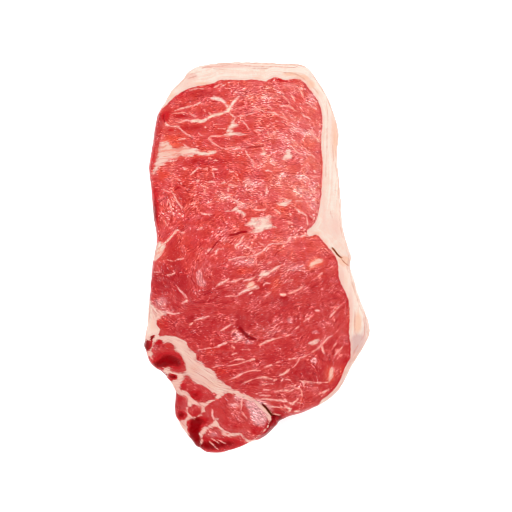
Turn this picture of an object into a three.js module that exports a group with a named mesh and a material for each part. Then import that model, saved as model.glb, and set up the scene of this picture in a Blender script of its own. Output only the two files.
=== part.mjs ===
// A raw sirloin steak, cut straight across the loin: one slab whose eye is two muscle lobes that meet in
// a seam, with a cap of fat over the top and down the right, and a small tail muscle that hangs on by a
// band of fat at the lower left. Millimetres, +Z up. The slab lies flat with its length along Y, and the
// origin is on the floor under the middle of its outline.

import * as THREE from 'three';

// ---- Driving dimensions ----

const THICKNESS = 19.5; // of the cut, at the level of the lean near the rim
const WIDEST_HEIGHT = 7.5; // where the side bulges out furthest
const WIDEST_SWAY = 1.4; // how far that line rises and falls on its way round
const WIDEST_SWAYS = 5; // and how often
const BASE_TUCK = 3.2; // how far the side curls in from there to the floor
const RIM_DROP = 0.9; // how far the upper face falls off as it nears its rim
const RIM_DROP_WIDTH = 5;

// The upper face is a grid of this many cells, drawn from a rectangle onto the outline.
const COLUMNS = 44;
const ROWS = 76;
const SIDE_STEPS_ABOVE = 4; // rows of facets from the rim down to the widest line
const SIDE_STEPS_BELOW = 3; // and from there down to the floor

const CURVE_STEP = 1.5; // spacing of the points at which curves are sampled

// The widest outline, seen from above, clockwise from the upper left corner.
const OUTLINE = [
  [-37, 89], [-33.8, 93.3], [-25.5, 96], [-8.5, 97.2], [11, 96.5], [23.8, 95.2], [30, 87.8],
  [34.6, 80.5], [38.6, 70], [40.5, 61], [39.6, 50], [41.2, 34], [42.4, 15], [46, 2.5], [47, -2], [45.6, -4.6],
  [47.4, -8.5], [50.8, -20], [55.2, -31.5], [56.3, -37.5], [54, -43.5], [46.3, -56], [41.5, -65.5],
  [33.5, -72.6], [23, -77.6], [12.9, -80.9], [8.7, -83.9], [3.7, -89], [-4.6, -93], [-19.5, -97.2],
  [-27, -96.5], [-34.5, -89.5], [-40.2, -80], [-40.7, -67.5], [-46.4, -58.3], [-53.8, -51.8], [-56.4, -43],
  [-55.1, -34], [-54.1, -21], [-52.2, -2], [-50.4, 9], [-51.9, 19.5], [-53.3, 35], [-54.3, 44.5],
  [-52.4, 56], [-49.9, 71], [-45.8, 78], [-42.8, 83.4],
];

// How far the rim of the upper face lies inside that outline: [bearing in degrees, inset].
const RIM_INSETS = [
  [-180, 1.6], [-130, 1.8], [-90, 1.8], [-70, 3], [-35, 5], [-15, 3.2], [30, 2.2], [90, 2], [150, 2.6],
  [180, 1.6],
];

// The edge of the lean. Outside it is the fat cap and, at the lower left, the band of fat that holds the
// tail. On the left the lean runs out to the side, so there the loop closes beyond the outline.
const LEAN_EDGE = [
  [-46.8, 75.5], [-39.8, 82], [-29.8, 85.5], [-17.8, 88.5], [2.3, 88.5], [8.8, 89.8], [22.8, 87.5],
  [29.3, 80.5], [32.5, 68.5], [32, 57], [32.5, 41], [31.3, 24.5], [27.3, 15], [29.3, 11.5], [37.3, 2.5],
  [40.5, -6.5], [44.8, -18], [46, -34], [46.3, -49], [41.3, -61], [34.3, -69], [23.8, -76],
  [13.8, -79.5], [5.3, -75.5], [-5.8, -68.3], [-16.3, -63], [-24.8, -56], [-31.8, -47.5], [-39.8, -40],
  [-48.8, -39.5], [-62, -30], [-64, 20], [-60, 70],
];
const FAT_RISE = 0.6; // the fat stands this much proud of the lean
const FAT_STEP_WIDTH = 3;

// Gentle swellings of the upper face: centre, reach along X and Y, and height.
const CROWNS = [
  { centre: [-8, 52], reach: [34, 30], height: 1.9 }, // upper lobe
  { centre: [0, -28], reach: [36, 34], height: 2.2 }, // lower lobe
  { centre: [-18, -83], reach: [20, 9], height: 1.4 }, // tail
  { centre: [-26, -10], reach: [10, 11], height: 0.8 }, // rolled fold of fibres in the lower lobe
];

// Furrows in the upper face: the line that each follows, its depth at both ends, and its half width.
const FURROWS = [
  // The seam where the two lobes of the eye meet, from the notch in the fat cap to the left side.
  {
    line: [[29, 13.5], [22, 10.5], [14, 6.5], [3, 2.5], [-9, 0], [-20, 3], [-33, 10], [-42, 12], [-53, 3]],
    depths: [1.4, 1.3],
    halfWidth: 3,
  },
  // The slit that parts the upper flap of the fat cap from the lower one.
  { line: [[37.5, 4.5], [41.5, -0.5], [48, -4.5]], depths: [0.8, 3], halfWidth: 2.2 },
  // The gap between the eye and the tail, open at the outer edge.
  { line: [[-4, -69.5], [2.5, -73.8], [8.5, -79], [15, -82.5]], depths: [0.8, 5], halfWidth: 3.4 },
  // The crease where the tail meets its band of fat.
  {
    line: [[-56, -43], [-47, -43.5], [-39, -49.5], [-34, -58.5], [-24, -65], [-13, -67.5], [-4, -69.5]],
    depths: [1.2, 0.8],
    halfWidth: 2.6,
  },
  // The seam across the tail.
  {
    line: [[-40, -67], [-30, -73], [-27, -80], [-20, -83], [-12, -88], [-3, -92.5]],
    depths: [1.2, 1.2],
    halfWidth: 2.4,
  },
  // Tears along the fibres of the lean.
  { line: [[-10.5, -30], [-7, -37], [-0.5, -42]], depths: [2.2, 1.4], halfWidth: 2.4 },
  { line: [[-16, 9.5], [-9, 12.5], [-2, 14]], depths: [1.2, 1], halfWidth: 2 },
  { line: [[-5.5, 54], [0.5, 55.5], [7, 56]], depths: [0.8, 0.8], halfWidth: 2 },
];

// ---- Curves ----

// Points every CURVE_STEP or so along a smooth curve through the given ones.
function sampleCurve(points, closed) {
  const knots = points.map(([x, y]) => new THREE.Vector3(x, y, 0));
  const curve = new THREE.CatmullRomCurve3(knots, closed, 'centripetal');
  return curve.getSpacedPoints(Math.ceil(curve.getLength() / CURVE_STEP));
}

// The nearest place on a sampled curve: how far off it is, and how far along, from 0 to 1.
function nearestOn(samples, point) {
  const foot = new THREE.Vector3();
  const piece = new THREE.Line3();
  let distance = Infinity;
  let along = 0;
  for (let i = 0; i + 1 < samples.length; i++) {
    piece.set(samples[i], samples[i + 1]);
    const share = piece.closestPointToPointParameter(point, true);
    const reach = piece.at(share, foot).distanceTo(point);
    if (reach < distance) {
      distance = reach;
      along = (i + share) / (samples.length - 1);
    }
  }
  return { distance, along };
}

function isInside(samples, point) {
  let inside = false;
  for (let i = 0; i + 1 < samples.length; i++) {
    const [a, b] = [samples[i], samples[i + 1]];
    const crosses = a.y > point.y !== b.y > point.y;
    if (crosses && point.x < a.x + ((point.y - a.y) / (b.y - a.y)) * (b.x - a.x)) inside = !inside;
  }
  return inside;
}

// The value at a bearing in a list of [bearing, value] that is sorted and reaches from -180 to 180.
function lookUp(list, bearing) {
  const next = Math.max(1, list.findIndex(([limit]) => bearing <= limit));
  const [from, to] = [list[next - 1], list[next]];
  return THREE.MathUtils.mapLinear(bearing, from[0], to[0], from[1], to[1]);
}

const outline = sampleCurve(OUTLINE, true);
const leanEdge = sampleCurve(LEAN_EDGE, true);
const furrows = FURROWS.map((furrow) => ({ ...furrow, samples: sampleCurve(furrow.line, false) }));

// The outline is seen whole from the origin, so a bearing meets it once: this lists how far out.
function distancesByBearing(samples) {
  const list = samples
    .slice(1)
    .map(({ x, y }) => [THREE.MathUtils.radToDeg(Math.atan2(y, x)), Math.hypot(x, y)])
    .sort((a, b) => a[0] - b[0]);
  const [first, last] = [list[0], list.at(-1)];
  return [[last[0] - 360, last[1]], ...list, [first[0] + 360, first[1]]];
}

const outlineDistances = distancesByBearing(outline);

function outlinePoint(bearing, inset) {
  const angle = THREE.MathUtils.degToRad(bearing);
  const radius = lookUp(outlineDistances, bearing) - inset;
  return new THREE.Vector3(radius * Math.cos(angle), radius * Math.sin(angle), 0);
}

// ---- The upper face ----

function crownHeight(point) {
  let height = 0;
  for (const { centre, reach, height: rise } of CROWNS) {
    const x = (point.x - centre[0]) / reach[0];
    const y = (point.y - centre[1]) / reach[1];
    height += rise * Math.exp(-(x * x + y * y));
  }
  return height;
}

function furrowDepth(point) {
  let depth = 0;
  for (const { samples, depths, halfWidth } of furrows) {
    const { distance, along } = nearestOn(samples, point);
    const fullDepth = THREE.MathUtils.lerp(depths[0], depths[1], along);
    depth = Math.max(depth, fullDepth * Math.exp(-((distance / halfWidth) ** 2)));
  }
  return depth;
}

function fatHeight(point) {
  const offset = nearestOn(leanEdge, point).distance * (isInside(leanEdge, point) ? -1 : 1);
  return FAT_RISE * THREE.MathUtils.smoothstep(offset, -FAT_STEP_WIDTH / 2, FAT_STEP_WIDTH / 2);
}

function upperHeight(point) {
  const fromEdge = nearestOn(outline, point).distance;
  const drop = RIM_DROP * (1 - THREE.MathUtils.smoothstep(fromEdge, 0, RIM_DROP_WIDTH));
  return THICKNESS + crownHeight(point) + fatHeight(point) - furrowDepth(point) - drop;
}

// ---- The closed surface ----

const positions = [];
const triangles = [];

function addVertex(x, y, z) {
  positions.push(x, y, z);
  return positions.length / 3 - 1;
}

// Two triangles, split along the diagonal whose ends are closer in height, so that facets follow furrows.
function addQuad(a, b, c, d) {
  const riseBetween = (from, to) => Math.abs(positions[3 * from + 2] - positions[3 * to + 2]);
  if (riseBetween(a, c) <= riseBetween(b, d)) {
    triangles.push(a, b, c, a, c, d);
  } else {
    triangles.push(a, b, d, b, c, d);
  }
}

const outlineBox = new THREE.Box3().setFromPoints(outline);
const halfSize = outlineBox.getSize(new THREE.Vector3()).multiplyScalar(0.5);

// A place on the rectangle, from -1 to 1 each way, as a bearing and a share of the way to the rim.
function rectangleToPolar(across, along) {
  const bearing = THREE.MathUtils.radToDeg(Math.atan2(along * halfSize.y, across * halfSize.x));
  return { bearing, share: Math.max(Math.abs(across), Math.abs(along)) };
}

function addUpperFace() {
  const grid = [];
  for (let row = 0; row <= ROWS; row++) {
    grid.push([]);
    for (let column = 0; column <= COLUMNS; column++) {
      const { bearing, share } = rectangleToPolar((2 * column) / COLUMNS - 1, (2 * row) / ROWS - 1);
      const point = outlinePoint(bearing, lookUp(RIM_INSETS, bearing)).multiplyScalar(share);
      grid[row].push(addVertex(point.x, point.y, upperHeight(point)));
    }
  }
  for (let row = 0; row < ROWS; row++) {
    for (let column = 0; column < COLUMNS; column++) {
      const [low, high] = [grid[row], grid[row + 1]];
      addQuad(low[column], low[column + 1], high[column + 1], high[column]);
    }
  }
  return grid;
}

// The grid's border, anticlockwise from its lower left corner.
function borderOf(grid) {
  const border = [];
  for (let column = 0; column < COLUMNS; column++) border.push(grid[0][column]);
  for (let row = 0; row < ROWS; row++) border.push(grid[row][COLUMNS]);
  for (let column = COLUMNS; column > 0; column--) border.push(grid[ROWS][column]);
  for (let row = ROWS; row > 0; row--) border.push(grid[row][0]);
  return border;
}

function widestHeight(bearing) {
  return WIDEST_HEIGHT + WIDEST_SWAY * Math.sin(THREE.MathUtils.degToRad(WIDEST_SWAYS * bearing));
}

// The side rolls over from the rim to the widest line, and from there in under itself to the floor,
// each on a quarter of an ellipse. These give a place's inset from the outline and its height.
function sideAbove(share, bearing, rimHeight) {
  const angle = (Math.PI / 2) * share;
  const widest = widestHeight(bearing);
  return {
    inset: lookUp(RIM_INSETS, bearing) * (1 - Math.sin(angle)),
    height: widest + (rimHeight - widest) * Math.cos(angle),
  };
}

function sideBelow(share, bearing) {
  const angle = (Math.PI / 2) * share;
  return {
    inset: BASE_TUCK * (1 - Math.cos(angle)),
    height: share < 1 ? widestHeight(bearing) * (1 - Math.sin(angle)) : 0,
  };
}

function addSideRing(rim, placeAt) {
  return rim.map((vertex) => {
    const [x, y, rimHeight] = positions.slice(3 * vertex, 3 * vertex + 3);
    const bearing = THREE.MathUtils.radToDeg(Math.atan2(y, x));
    const { inset, height } = placeAt(bearing, rimHeight);
    const point = outlinePoint(bearing, inset);
    return addVertex(point.x, point.y, height);
  });
}

function addSide(rim) {
  const rings = [rim];
  for (let step = 1; step <= SIDE_STEPS_ABOVE; step++) {
    const share = step / SIDE_STEPS_ABOVE;
    rings.push(addSideRing(rim, (bearing, rimHeight) => sideAbove(share, bearing, rimHeight)));
  }
  for (let step = 1; step <= SIDE_STEPS_BELOW; step++) {
    const share = step / SIDE_STEPS_BELOW;
    rings.push(addSideRing(rim, (bearing) => sideBelow(share, bearing)));
  }
  for (let level = 1; level < rings.length; level++) {
    const [upper, lower] = [rings[level - 1], rings[level]];
    for (let i = 0; i < rim.length; i++) {
      const next = (i + 1) % rim.length;
      addQuad(lower[i], lower[next], upper[next], upper[i]);
    }
  }
  return rings.at(-1);
}

// The underside is the flat polygon inside the lowest ring, turned to face the floor.
function addUnderside(ring) {
  const corners = ring.map((vertex) => new THREE.Vector2(positions[3 * vertex], positions[3 * vertex + 1]));
  for (const [a, b, c] of THREE.ShapeUtils.triangulateShape(corners, [])) {
    triangles.push(ring[a], ring[c], ring[b]);
  }
}

function makeSteak() {
  const rim = borderOf(addUpperFace());
  addUnderside(addSide(rim));
  const geometry = new THREE.BufferGeometry();
  geometry.setAttribute('position', new THREE.Float32BufferAttribute(positions, 3));
  geometry.setIndex(triangles);
  geometry.computeBoundingBox();
  const middle = geometry.boundingBox.getCenter(new THREE.Vector3());
  geometry.translate(-middle.x, -middle.y, 0);
  geometry.computeVertexNormals();
  const meat = new THREE.MeshStandardMaterial({ color: 0xd1605c, roughness: 0.35, metalness: 0 });
  const steak = new THREE.Mesh(geometry, meat);
  steak.name = 'steak';
  return steak;
}

const part = new THREE.Group();
part.add(makeSteak());

export default part;
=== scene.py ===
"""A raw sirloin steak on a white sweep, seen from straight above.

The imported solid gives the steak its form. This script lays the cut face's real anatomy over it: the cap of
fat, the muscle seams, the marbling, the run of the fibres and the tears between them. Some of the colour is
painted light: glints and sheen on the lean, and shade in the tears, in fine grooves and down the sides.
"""
import math

import bmesh
import bpy
import numpy as np
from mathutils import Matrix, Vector


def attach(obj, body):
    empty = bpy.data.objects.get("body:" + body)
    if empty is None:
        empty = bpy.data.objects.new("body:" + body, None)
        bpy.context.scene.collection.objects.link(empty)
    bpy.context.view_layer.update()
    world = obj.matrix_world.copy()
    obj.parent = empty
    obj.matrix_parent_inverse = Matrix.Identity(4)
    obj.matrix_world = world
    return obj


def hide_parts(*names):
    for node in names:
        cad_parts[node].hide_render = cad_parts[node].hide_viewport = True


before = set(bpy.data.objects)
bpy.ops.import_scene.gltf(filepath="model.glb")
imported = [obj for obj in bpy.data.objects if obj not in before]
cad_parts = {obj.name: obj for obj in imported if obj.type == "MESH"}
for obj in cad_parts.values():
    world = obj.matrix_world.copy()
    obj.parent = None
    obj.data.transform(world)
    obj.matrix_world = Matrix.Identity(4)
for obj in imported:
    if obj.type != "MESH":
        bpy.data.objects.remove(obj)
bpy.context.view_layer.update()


# ---------------------------------------------------------------------------------------------------------
# Floor, light and camera
# A white sweep under even, bright studio light: one big soft source high on the right and a white room.
# The camera looks straight down through a long lens, so that the sides hardly show.

MM = 0.001

FLOOR_SIZE = 6.0
FLOOR_DROP = 0.1 * MM
FLOOR_WHITE = (0.6, 0.6, 0.6, 1)
FLOOR_GLOW = 0.72

CAMERA_LENS = 135.0
CAMERA_SENSOR = 36.0
VIEW_WIDTH = 256 * MM
VIEW_MIDDLE = Vector((-0.75, 0.5, 10)) * MM

# The room is dim overhead, so that wet flesh keeps its deep colour from above, and bright lower down.
OVERHEAD_LIGHT = 0.08
HORIZON_LIGHT = 0.8
BRIGHT_BELOW = 0.45         # heights on the room's dome, from 0 at the horizon to 1 overhead
DIM_ABOVE = 0.85

LAMPS = {
    # name: (place, width and height, watts, colour)
    "key": ((0.42, 0.34, 0.72), (0.4, 0.4), 4.0, (1.0, 0.99, 0.98)),
    "fill": ((-0.62, 0.15, 0.5), (0.6, 0.5), 2.4, (1.0, 1.0, 1.0)),
    "front": ((0.1, -0.7, 0.45), (0.6, 0.4), 1.7, (1.0, 1.0, 1.0)),
}


def srgb(red, green, blue):
    """A colour given as 0 to 255 screen values, as the linear RGBA that Blender's sockets take."""
    def linear(level):
        level /= 255
        return level / 12.92 if level <= 0.04045 else ((level + 0.055) / 1.055) ** 2.4
    return (linear(red), linear(green), linear(blue), 1.0)


def add_node(tree, kind, inputs=None, **settings):
    """Adds a node, sets its properties, and fills its inputs with values or links from other sockets."""
    made = tree.nodes.new(kind)
    for name, value in settings.items():
        setattr(made, name, value)
    for key, value in (inputs or {}).items():
        if isinstance(value, bpy.types.NodeSocket):
            tree.links.new(value, made.inputs[key])
        else:
            made.inputs[key].default_value = value
    return made


def new_material(name):
    """An empty node material and its tree, with only the output node in it."""
    material = bpy.data.materials.new(name)
    material.use_nodes = True
    material.node_tree.nodes.clear()
    output = material.node_tree.nodes.new("ShaderNodeOutputMaterial")
    return material, material.node_tree, output


def link_object(name, data):
    made = bpy.data.objects.new(name, data)
    bpy.context.scene.collection.objects.link(made)
    return made


def make_floor():
    mesh = bpy.data.meshes.new("floor")
    half = FLOOR_SIZE / 2
    corners = [(x, y, -FLOOR_DROP) for x, y in ((-half, -half), (half, -half), (half, half), (-half, half))]
    mesh.from_pydata(corners, [], [(0, 1, 2, 3)])
    material, tree, output = new_material("floor_white")
    grain = add_node(tree, "ShaderNodeTexNoise", {"Scale": 90.0, "Detail": 3.0})
    bump = add_node(tree, "ShaderNodeBump", {
        "Strength": 0.05, "Distance": 0.2 * MM, "Height": grain.outputs["Fac"],
    })
    paper = add_node(tree, "ShaderNodeBsdfPrincipled", {
        "Base Color": FLOOR_WHITE, "Roughness": 0.9, "Specular IOR Level": 0.1,
        "Normal": bump.outputs["Normal"], "Emission Color": (1, 1, 1, 1), "Emission Strength": FLOOR_GLOW,
    })
    tree.links.new(paper.outputs[0], output.inputs["Surface"])
    mesh.materials.append(material)
    link_object("floor", mesh)


def add_lamp(name, place, size, watts, colour):
    lamp = bpy.data.lights.new(name, "AREA")
    lamp.shape = "RECTANGLE"
    lamp.size, lamp.size_y = size
    lamp.energy = watts
    lamp.color = colour
    holder = link_object(name, lamp)
    holder.location = place
    holder.rotation_euler = (VIEW_MIDDLE - Vector(place)).to_track_quat("-Z", "Y").to_euler()


def add_camera():
    camera = bpy.data.cameras.new("camera")
    camera.lens = CAMERA_LENS
    camera.sensor_width = CAMERA_SENSOR
    camera.clip_end = 20
    holder = link_object("camera", camera)
    holder.location = VIEW_MIDDLE + Vector((0, 0, VIEW_WIDTH * CAMERA_LENS / CAMERA_SENSOR))
    bpy.context.scene.camera = holder


def make_room():
    room = bpy.data.worlds.new("room")
    room.use_nodes = True
    tree = room.node_tree
    direction = add_node(tree, "ShaderNodeTexCoord").outputs["Generated"]
    height = add_node(tree, "ShaderNodeSeparateXYZ", {0: direction}).outputs[2]
    strength = add_node(tree, "ShaderNodeMapRange", {
        "Value": height, "From Min": BRIGHT_BELOW, "From Max": DIM_ABOVE,
        "To Min": HORIZON_LIGHT, "To Max": OVERHEAD_LIGHT,
    }, interpolation_type="SMOOTHSTEP").outputs["Result"]
    background = tree.nodes["Background"]
    background.inputs["Color"].default_value = (1, 1, 1, 1)
    tree.links.new(strength, background.inputs["Strength"])
    bpy.context.scene.world = room


make_floor()
make_room()
for lamp_name, lamp_facts in LAMPS.items():
    add_lamp(lamp_name, *lamp_facts)
add_camera()
bpy.context.scene.view_settings.view_transform = "Standard"
bpy.context.scene.cycles.use_denoising = True
bpy.context.scene.cycles.filter_width = 0.75


# ---------------------------------------------------------------------------------------------------------
# The steak
# One slice of raw beef, cut across the loin: an eye of two muscle lobes, a cap of back fat over its top
# and right, and a small tail muscle on a band of fat. The knife leaves it in one piece, so it is one mesh,
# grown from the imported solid. Places are in millimetres from the middle of the floor under it.

MESH_STEP = 1.25 * MM       # on the sides and the underside; half that on the upper face
FACET_SMOOTHING = 6         # rounds of smoothing that take the solid's flat facets away
UPPER_FACE = 13.5 * MM      # the upper face lies above this height
LINE_REACH = 0.45           # mm round a seam or a tear within which the mesh is split once more
NEARNESS = 1.0105           # the tables say where things show from the camera, which enlarges the upper face
DEPTH_DRIFT = (2.5, -1.5)   # how far the pattern moves sideways on its way down to the underside
UPPER_LEVEL = 17.0          # height in mm above which the pattern is that of the upper face
FIBRE_CELL = 1.0            # mm between the grid's points where the run of the fibres is worked out
FIBRE_ROUNDS = 30

# The edge of the eye's lean. On the left and at the lower right the lean runs out to the side of the slab,
# so there the loop closes beyond it.
EYE_EDGE = [
    (-48.5, 74.5), (-46, 76), (-43.5, 78.3), (-41, 80.5), (-37, 83), (-34, 84.3), (-30, 85.4), (-27, 85.8),
    (-22, 86.9), (-20, 88), (-17.5, 88.6), (-11, 88.6), (-7, 88.4), (-2, 88.7), (2, 88.2), (4, 87.8),
    (6, 88.8), (8, 89.8), (10.5, 89.6), (13.8, 88.6), (17.5, 89.1), (20.5, 88.9), (22.5, 88), (24.5, 86.2),
    (26.5, 83.4), (28.5, 80.8), (30.3, 78), (31.6, 74.5), (32.4, 70.5), (32.5, 66), (31.8, 57), (32.5, 48),
    (32.5, 41), (31.8, 30), (31.2, 26), (30.2, 21.5), (28.8, 17.2), (27, 15.2), (25.2, 13.8), (24.6, 12),
    (26, 10.2), (28.5, 11.2), (30.4, 10.8), (32.2, 8.7), (35, 5.4), (38, 1.8), (39.9, -1.8), (40.4, -6),
    (40.9, -10.5), (42.6, -15), (44.4, -18.4), (45.7, -23), (46, -30), (45.8, -38), (46.5, -43),
    (46.6, -48), (46.2, -51), (44.2, -54.6), (42.8, -58.5), (41.2, -62), (38.6, -66), (35, -69.6),
    (31.5, -72.3), (29, -77), (20, -82), (12, -83.5), (9.4, -80), (6.8, -77.6), (3.6, -74.6), (0.6, -72.4),
    (-1.6, -71), (-5.2, -68.6), (-9, -66.9), (-12, -66.1), (-14.2, -64.8), (-16.6, -62.8), (-20.4, -59.8),
    (-21, -58.3), (-23.2, -56), (-26.2, -54.3), (-30, -51), (-31.2, -48), (-34.3, -45.7), (-35, -43.4),
    (-37, -41.4), (-41, -39.7), (-45, -39), (-49, -39.4), (-50.3, -35.5), (-51.8, -32.5), (-62, -28),
    (-66, 20), (-60, 72),
]

# The islands of lean in the tail, between its seams of fat.
TAIL_LEAN = {
    "corner": [
        (-60, -42), (-54.6, -42.4), (-53.6, -40.2), (-51.2, -38.6), (-52.4, -41.4), (-52.9, -44),
        (-54, -46.6), (-56, -47.2), (-60, -46.6),
    ],
    "upper": [
        (-51.8, -43), (-49.6, -41.6), (-48.2, -41.6), (-46.6, -43), (-44, -43), (-42.3, -43.6),
        (-41.5, -45.3), (-41.6, -46.8), (-39.8, -48), (-38.2, -49.5), (-37.2, -51.5), (-36.4, -54),
        (-35.6, -56.2), (-37, -57.4), (-40, -57.6), (-42.6, -56.8), (-43.8, -55.3), (-45.6, -55),
        (-47.6, -56), (-46.8, -57.8), (-45.2, -59.6), (-50, -58), (-58, -51.6), (-54.6, -50.3),
        (-52.6, -49.4), (-53, -47), (-51.8, -44.6),
    ],
    "fleck": [(-44, -58.5), (-40.8, -58.7), (-40.2, -60.2), (-42, -61.7), (-46, -62)],
    "middle": [
        (-36.6, -59.4), (-35.2, -59.2), (-33.5, -60.5), (-31.8, -62.6), (-30.6, -63.6), (-27.5, -64.1),
        (-25.5, -65.6), (-22.6, -67.8), (-20.8, -69.4), (-22, -70.9), (-24.6, -71.9), (-27, -72.6),
        (-29.5, -72.5), (-32, -70.9), (-33.6, -68.6), (-35.5, -67.1), (-38, -66.8), (-38.8, -65.4),
        (-37.6, -63), (-36.5, -61),
    ],
    "side": [
        (-44, -69.4), (-39.4, -69.2), (-37, -69.5), (-35.6, -71), (-35.2, -73.6), (-35.9, -76),
        (-35.2, -78.8), (-36.9, -81.2), (-42, -81.4),
    ],
    "round": [
        (-34.4, -75.6), (-33, -74.2), (-30.5, -73.9), (-28.8, -74.8), (-28.2, -76.6), (-29.6, -78.9),
        (-31.6, -79.6), (-33.5, -78.9), (-34.7, -77.5),
    ],
    "main": [
        (-25.6, -74.2), (-23, -73), (-20, -71.2), (-17, -69.2), (-14.6, -68.2), (-11.5, -68.6),
        (-8.2, -70.6), (-4.4, -71.6), (-1.4, -73.4), (1.6, -76), (4, -78.8), (5.6, -81.6), (4.8, -84.2),
        (2.6, -87), (0.2, -89.6), (-2.4, -91.6), (-4.6, -91.6), (-6.8, -89.4), (-8.8, -87.6),
        (-12.6, -87.8), (-15, -87.2), (-17.4, -85.4), (-19.4, -82.4), (-20.3, -80.6), (-21.8, -81.6),
        (-23.8, -83.8), (-26.2, -84.8), (-28.4, -86.4), (-29, -88.5), (-28.6, -92), (-29.4, -96.6),
        (-31.5, -95), (-33.2, -91), (-34.8, -86), (-34.9, -81.8), (-31, -80.7), (-28.4, -79.2),
        (-26, -76.8),
    ],
    "bottom": [
        (-27.6, -89.4), (-25.2, -86.8), (-22.4, -85.2), (-20.3, -85), (-18, -88), (-15.2, -90),
        (-11, -89.7), (-9, -89.6), (-7, -91.3), (-5, -93.4), (-10, -97), (-18, -99.6), (-26, -99.5),
        (-28.4, -94.6), (-27.4, -92),
    ],
    "wall": [
        (7.9, -79.4), (13.4, -79.2), (13, -84), (7, -91), (0, -97), (-1, -91.6), (2.8, -88.2),
        (5.2, -85.3), (6.4, -82.4),
    ],
}

# Pieces of fat inside the lean: the soft wedge on the left, and the larger flecks of marbling.
FAT_ISLANDS = [
    [
        (-48.6, 57.3), (-46.4, 57.4), (-45, 58), (-43.4, 56.4), (-42.6, 55), (-40, 54.6), (-37, 54.8),
        (-33, 54.3), (-31, 53.8), (-28.5, 52.9), (-25, 52.6), (-21, 52.6), (-22.4, 51.4), (-25, 50.9),
        (-28.8, 51.1), (-31, 51.4), (-33, 50.4), (-35.5, 50.2), (-38, 50.7), (-41, 50.1), (-43.2, 48.9),
        (-45, 47.8), (-47.2, 46.1), (-49.5, 45), (-50.7, 42.8), (-52.2, 41.4), (-51.6, 45), (-50, 50),
        (-49.2, 54),
    ],
    [
        (-6, 16.4), (-3.8, 17.6), (-2.6, 19.2), (0, 19.2), (1.6, 19.8), (4, 20.4), (6.8, 20.2),
        (5.8, 18.6), (6.8, 17), (7.8, 15.4), (9.2, 14.8), (6, 14.4), (3, 14.2), (2.6, 13.3), (0.6, 12.7),
        (-2.6, 12.3), (-4.6, 11.8), (-2.4, 13.2), (-0.8, 14.2), (-1.8, 15.3), (-4.4, 15.5),
    ],
    [
        (-12.4, 68), (-11.5, 66.6), (-9.4, 65.7), (-11, 65), (-13, 64.2), (-14.8, 62.6), (-14.6, 64),
        (-14, 65.8), (-13.2, 67.2),
    ],
    [
        (-16.6, 60.6), (-14.6, 61.8), (-13.2, 63.2), (-12.4, 62.2), (-10, 62.1), (-8, 61.7), (-5.8, 61),
        (-8.5, 60.8), (-10, 60.9), (-12, 60.6), (-14.5, 60.2),
    ],
    [(-49, 7.4), (-47.4, 6.6), (-46.4, 5), (-48, 2), (-49.5, -0.6), (-52, -2), (-53, 2), (-51, 6)],
    [(-5.2, -15.9), (-4.4, -13.2), (-3, -12.3), (-1.4, -13.4), (0.6, -14.8), (-1.2, -15.6)],
    [(26.2, -5), (27, -3), (28.8, -1.4), (30.6, -0.9), (32.2, -1.7), (30.8, -3), (28.8, -4.4)],
    [(1.4, 51), (2.5, 52.3), (3.5, 52.6), (4.3, 51.8), (3.2, 50.9)],
    [
        (12.4, 49.7), (13.8, 50.8), (14.5, 52.4), (14.9, 53.7), (16.7, 53.7), (16.6, 51.8), (18, 51),
        (17, 50.1), (15.2, 49),
    ],
    [
        (9.6, 27.2), (11.8, 27.2), (14.6, 28.2), (17.2, 28.5), (16.6, 27.6), (14.8, 26.4), (12.8, 25.2),
        (10.8, 25.8),
    ],
    [
        (-15.6, 22.7), (-13, 23.5), (-10.4, 24.9), (-8.4, 24), (-6.6, 22.4), (-6, 21), (-7.5, 20.8),
        (-9, 21.9), (-10.6, 22.9),
    ],
    [(1.2, -9.2), (3, -7.6), (6, -7), (7.4, -6.8), (5.6, -8.6), (3.4, -9.8)],
    [(26.2, -43), (27.2, -42), (30.6, -41.4), (28.6, -43), (27.2, -43.8)],
    [(36, -57.6), (37.4, -55.6), (38.4, -56.4), (37.2, -59.6), (35.8, -61.8)],
    [
        (-56, -22), (-51.8, -24.5), (-48.4, -27), (-44, -27.6), (-48, -29.6), (-50.6, -33), (-48.8, -36.6),
        (-50, -38.6), (-58, -38.6),
    ],
]

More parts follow.
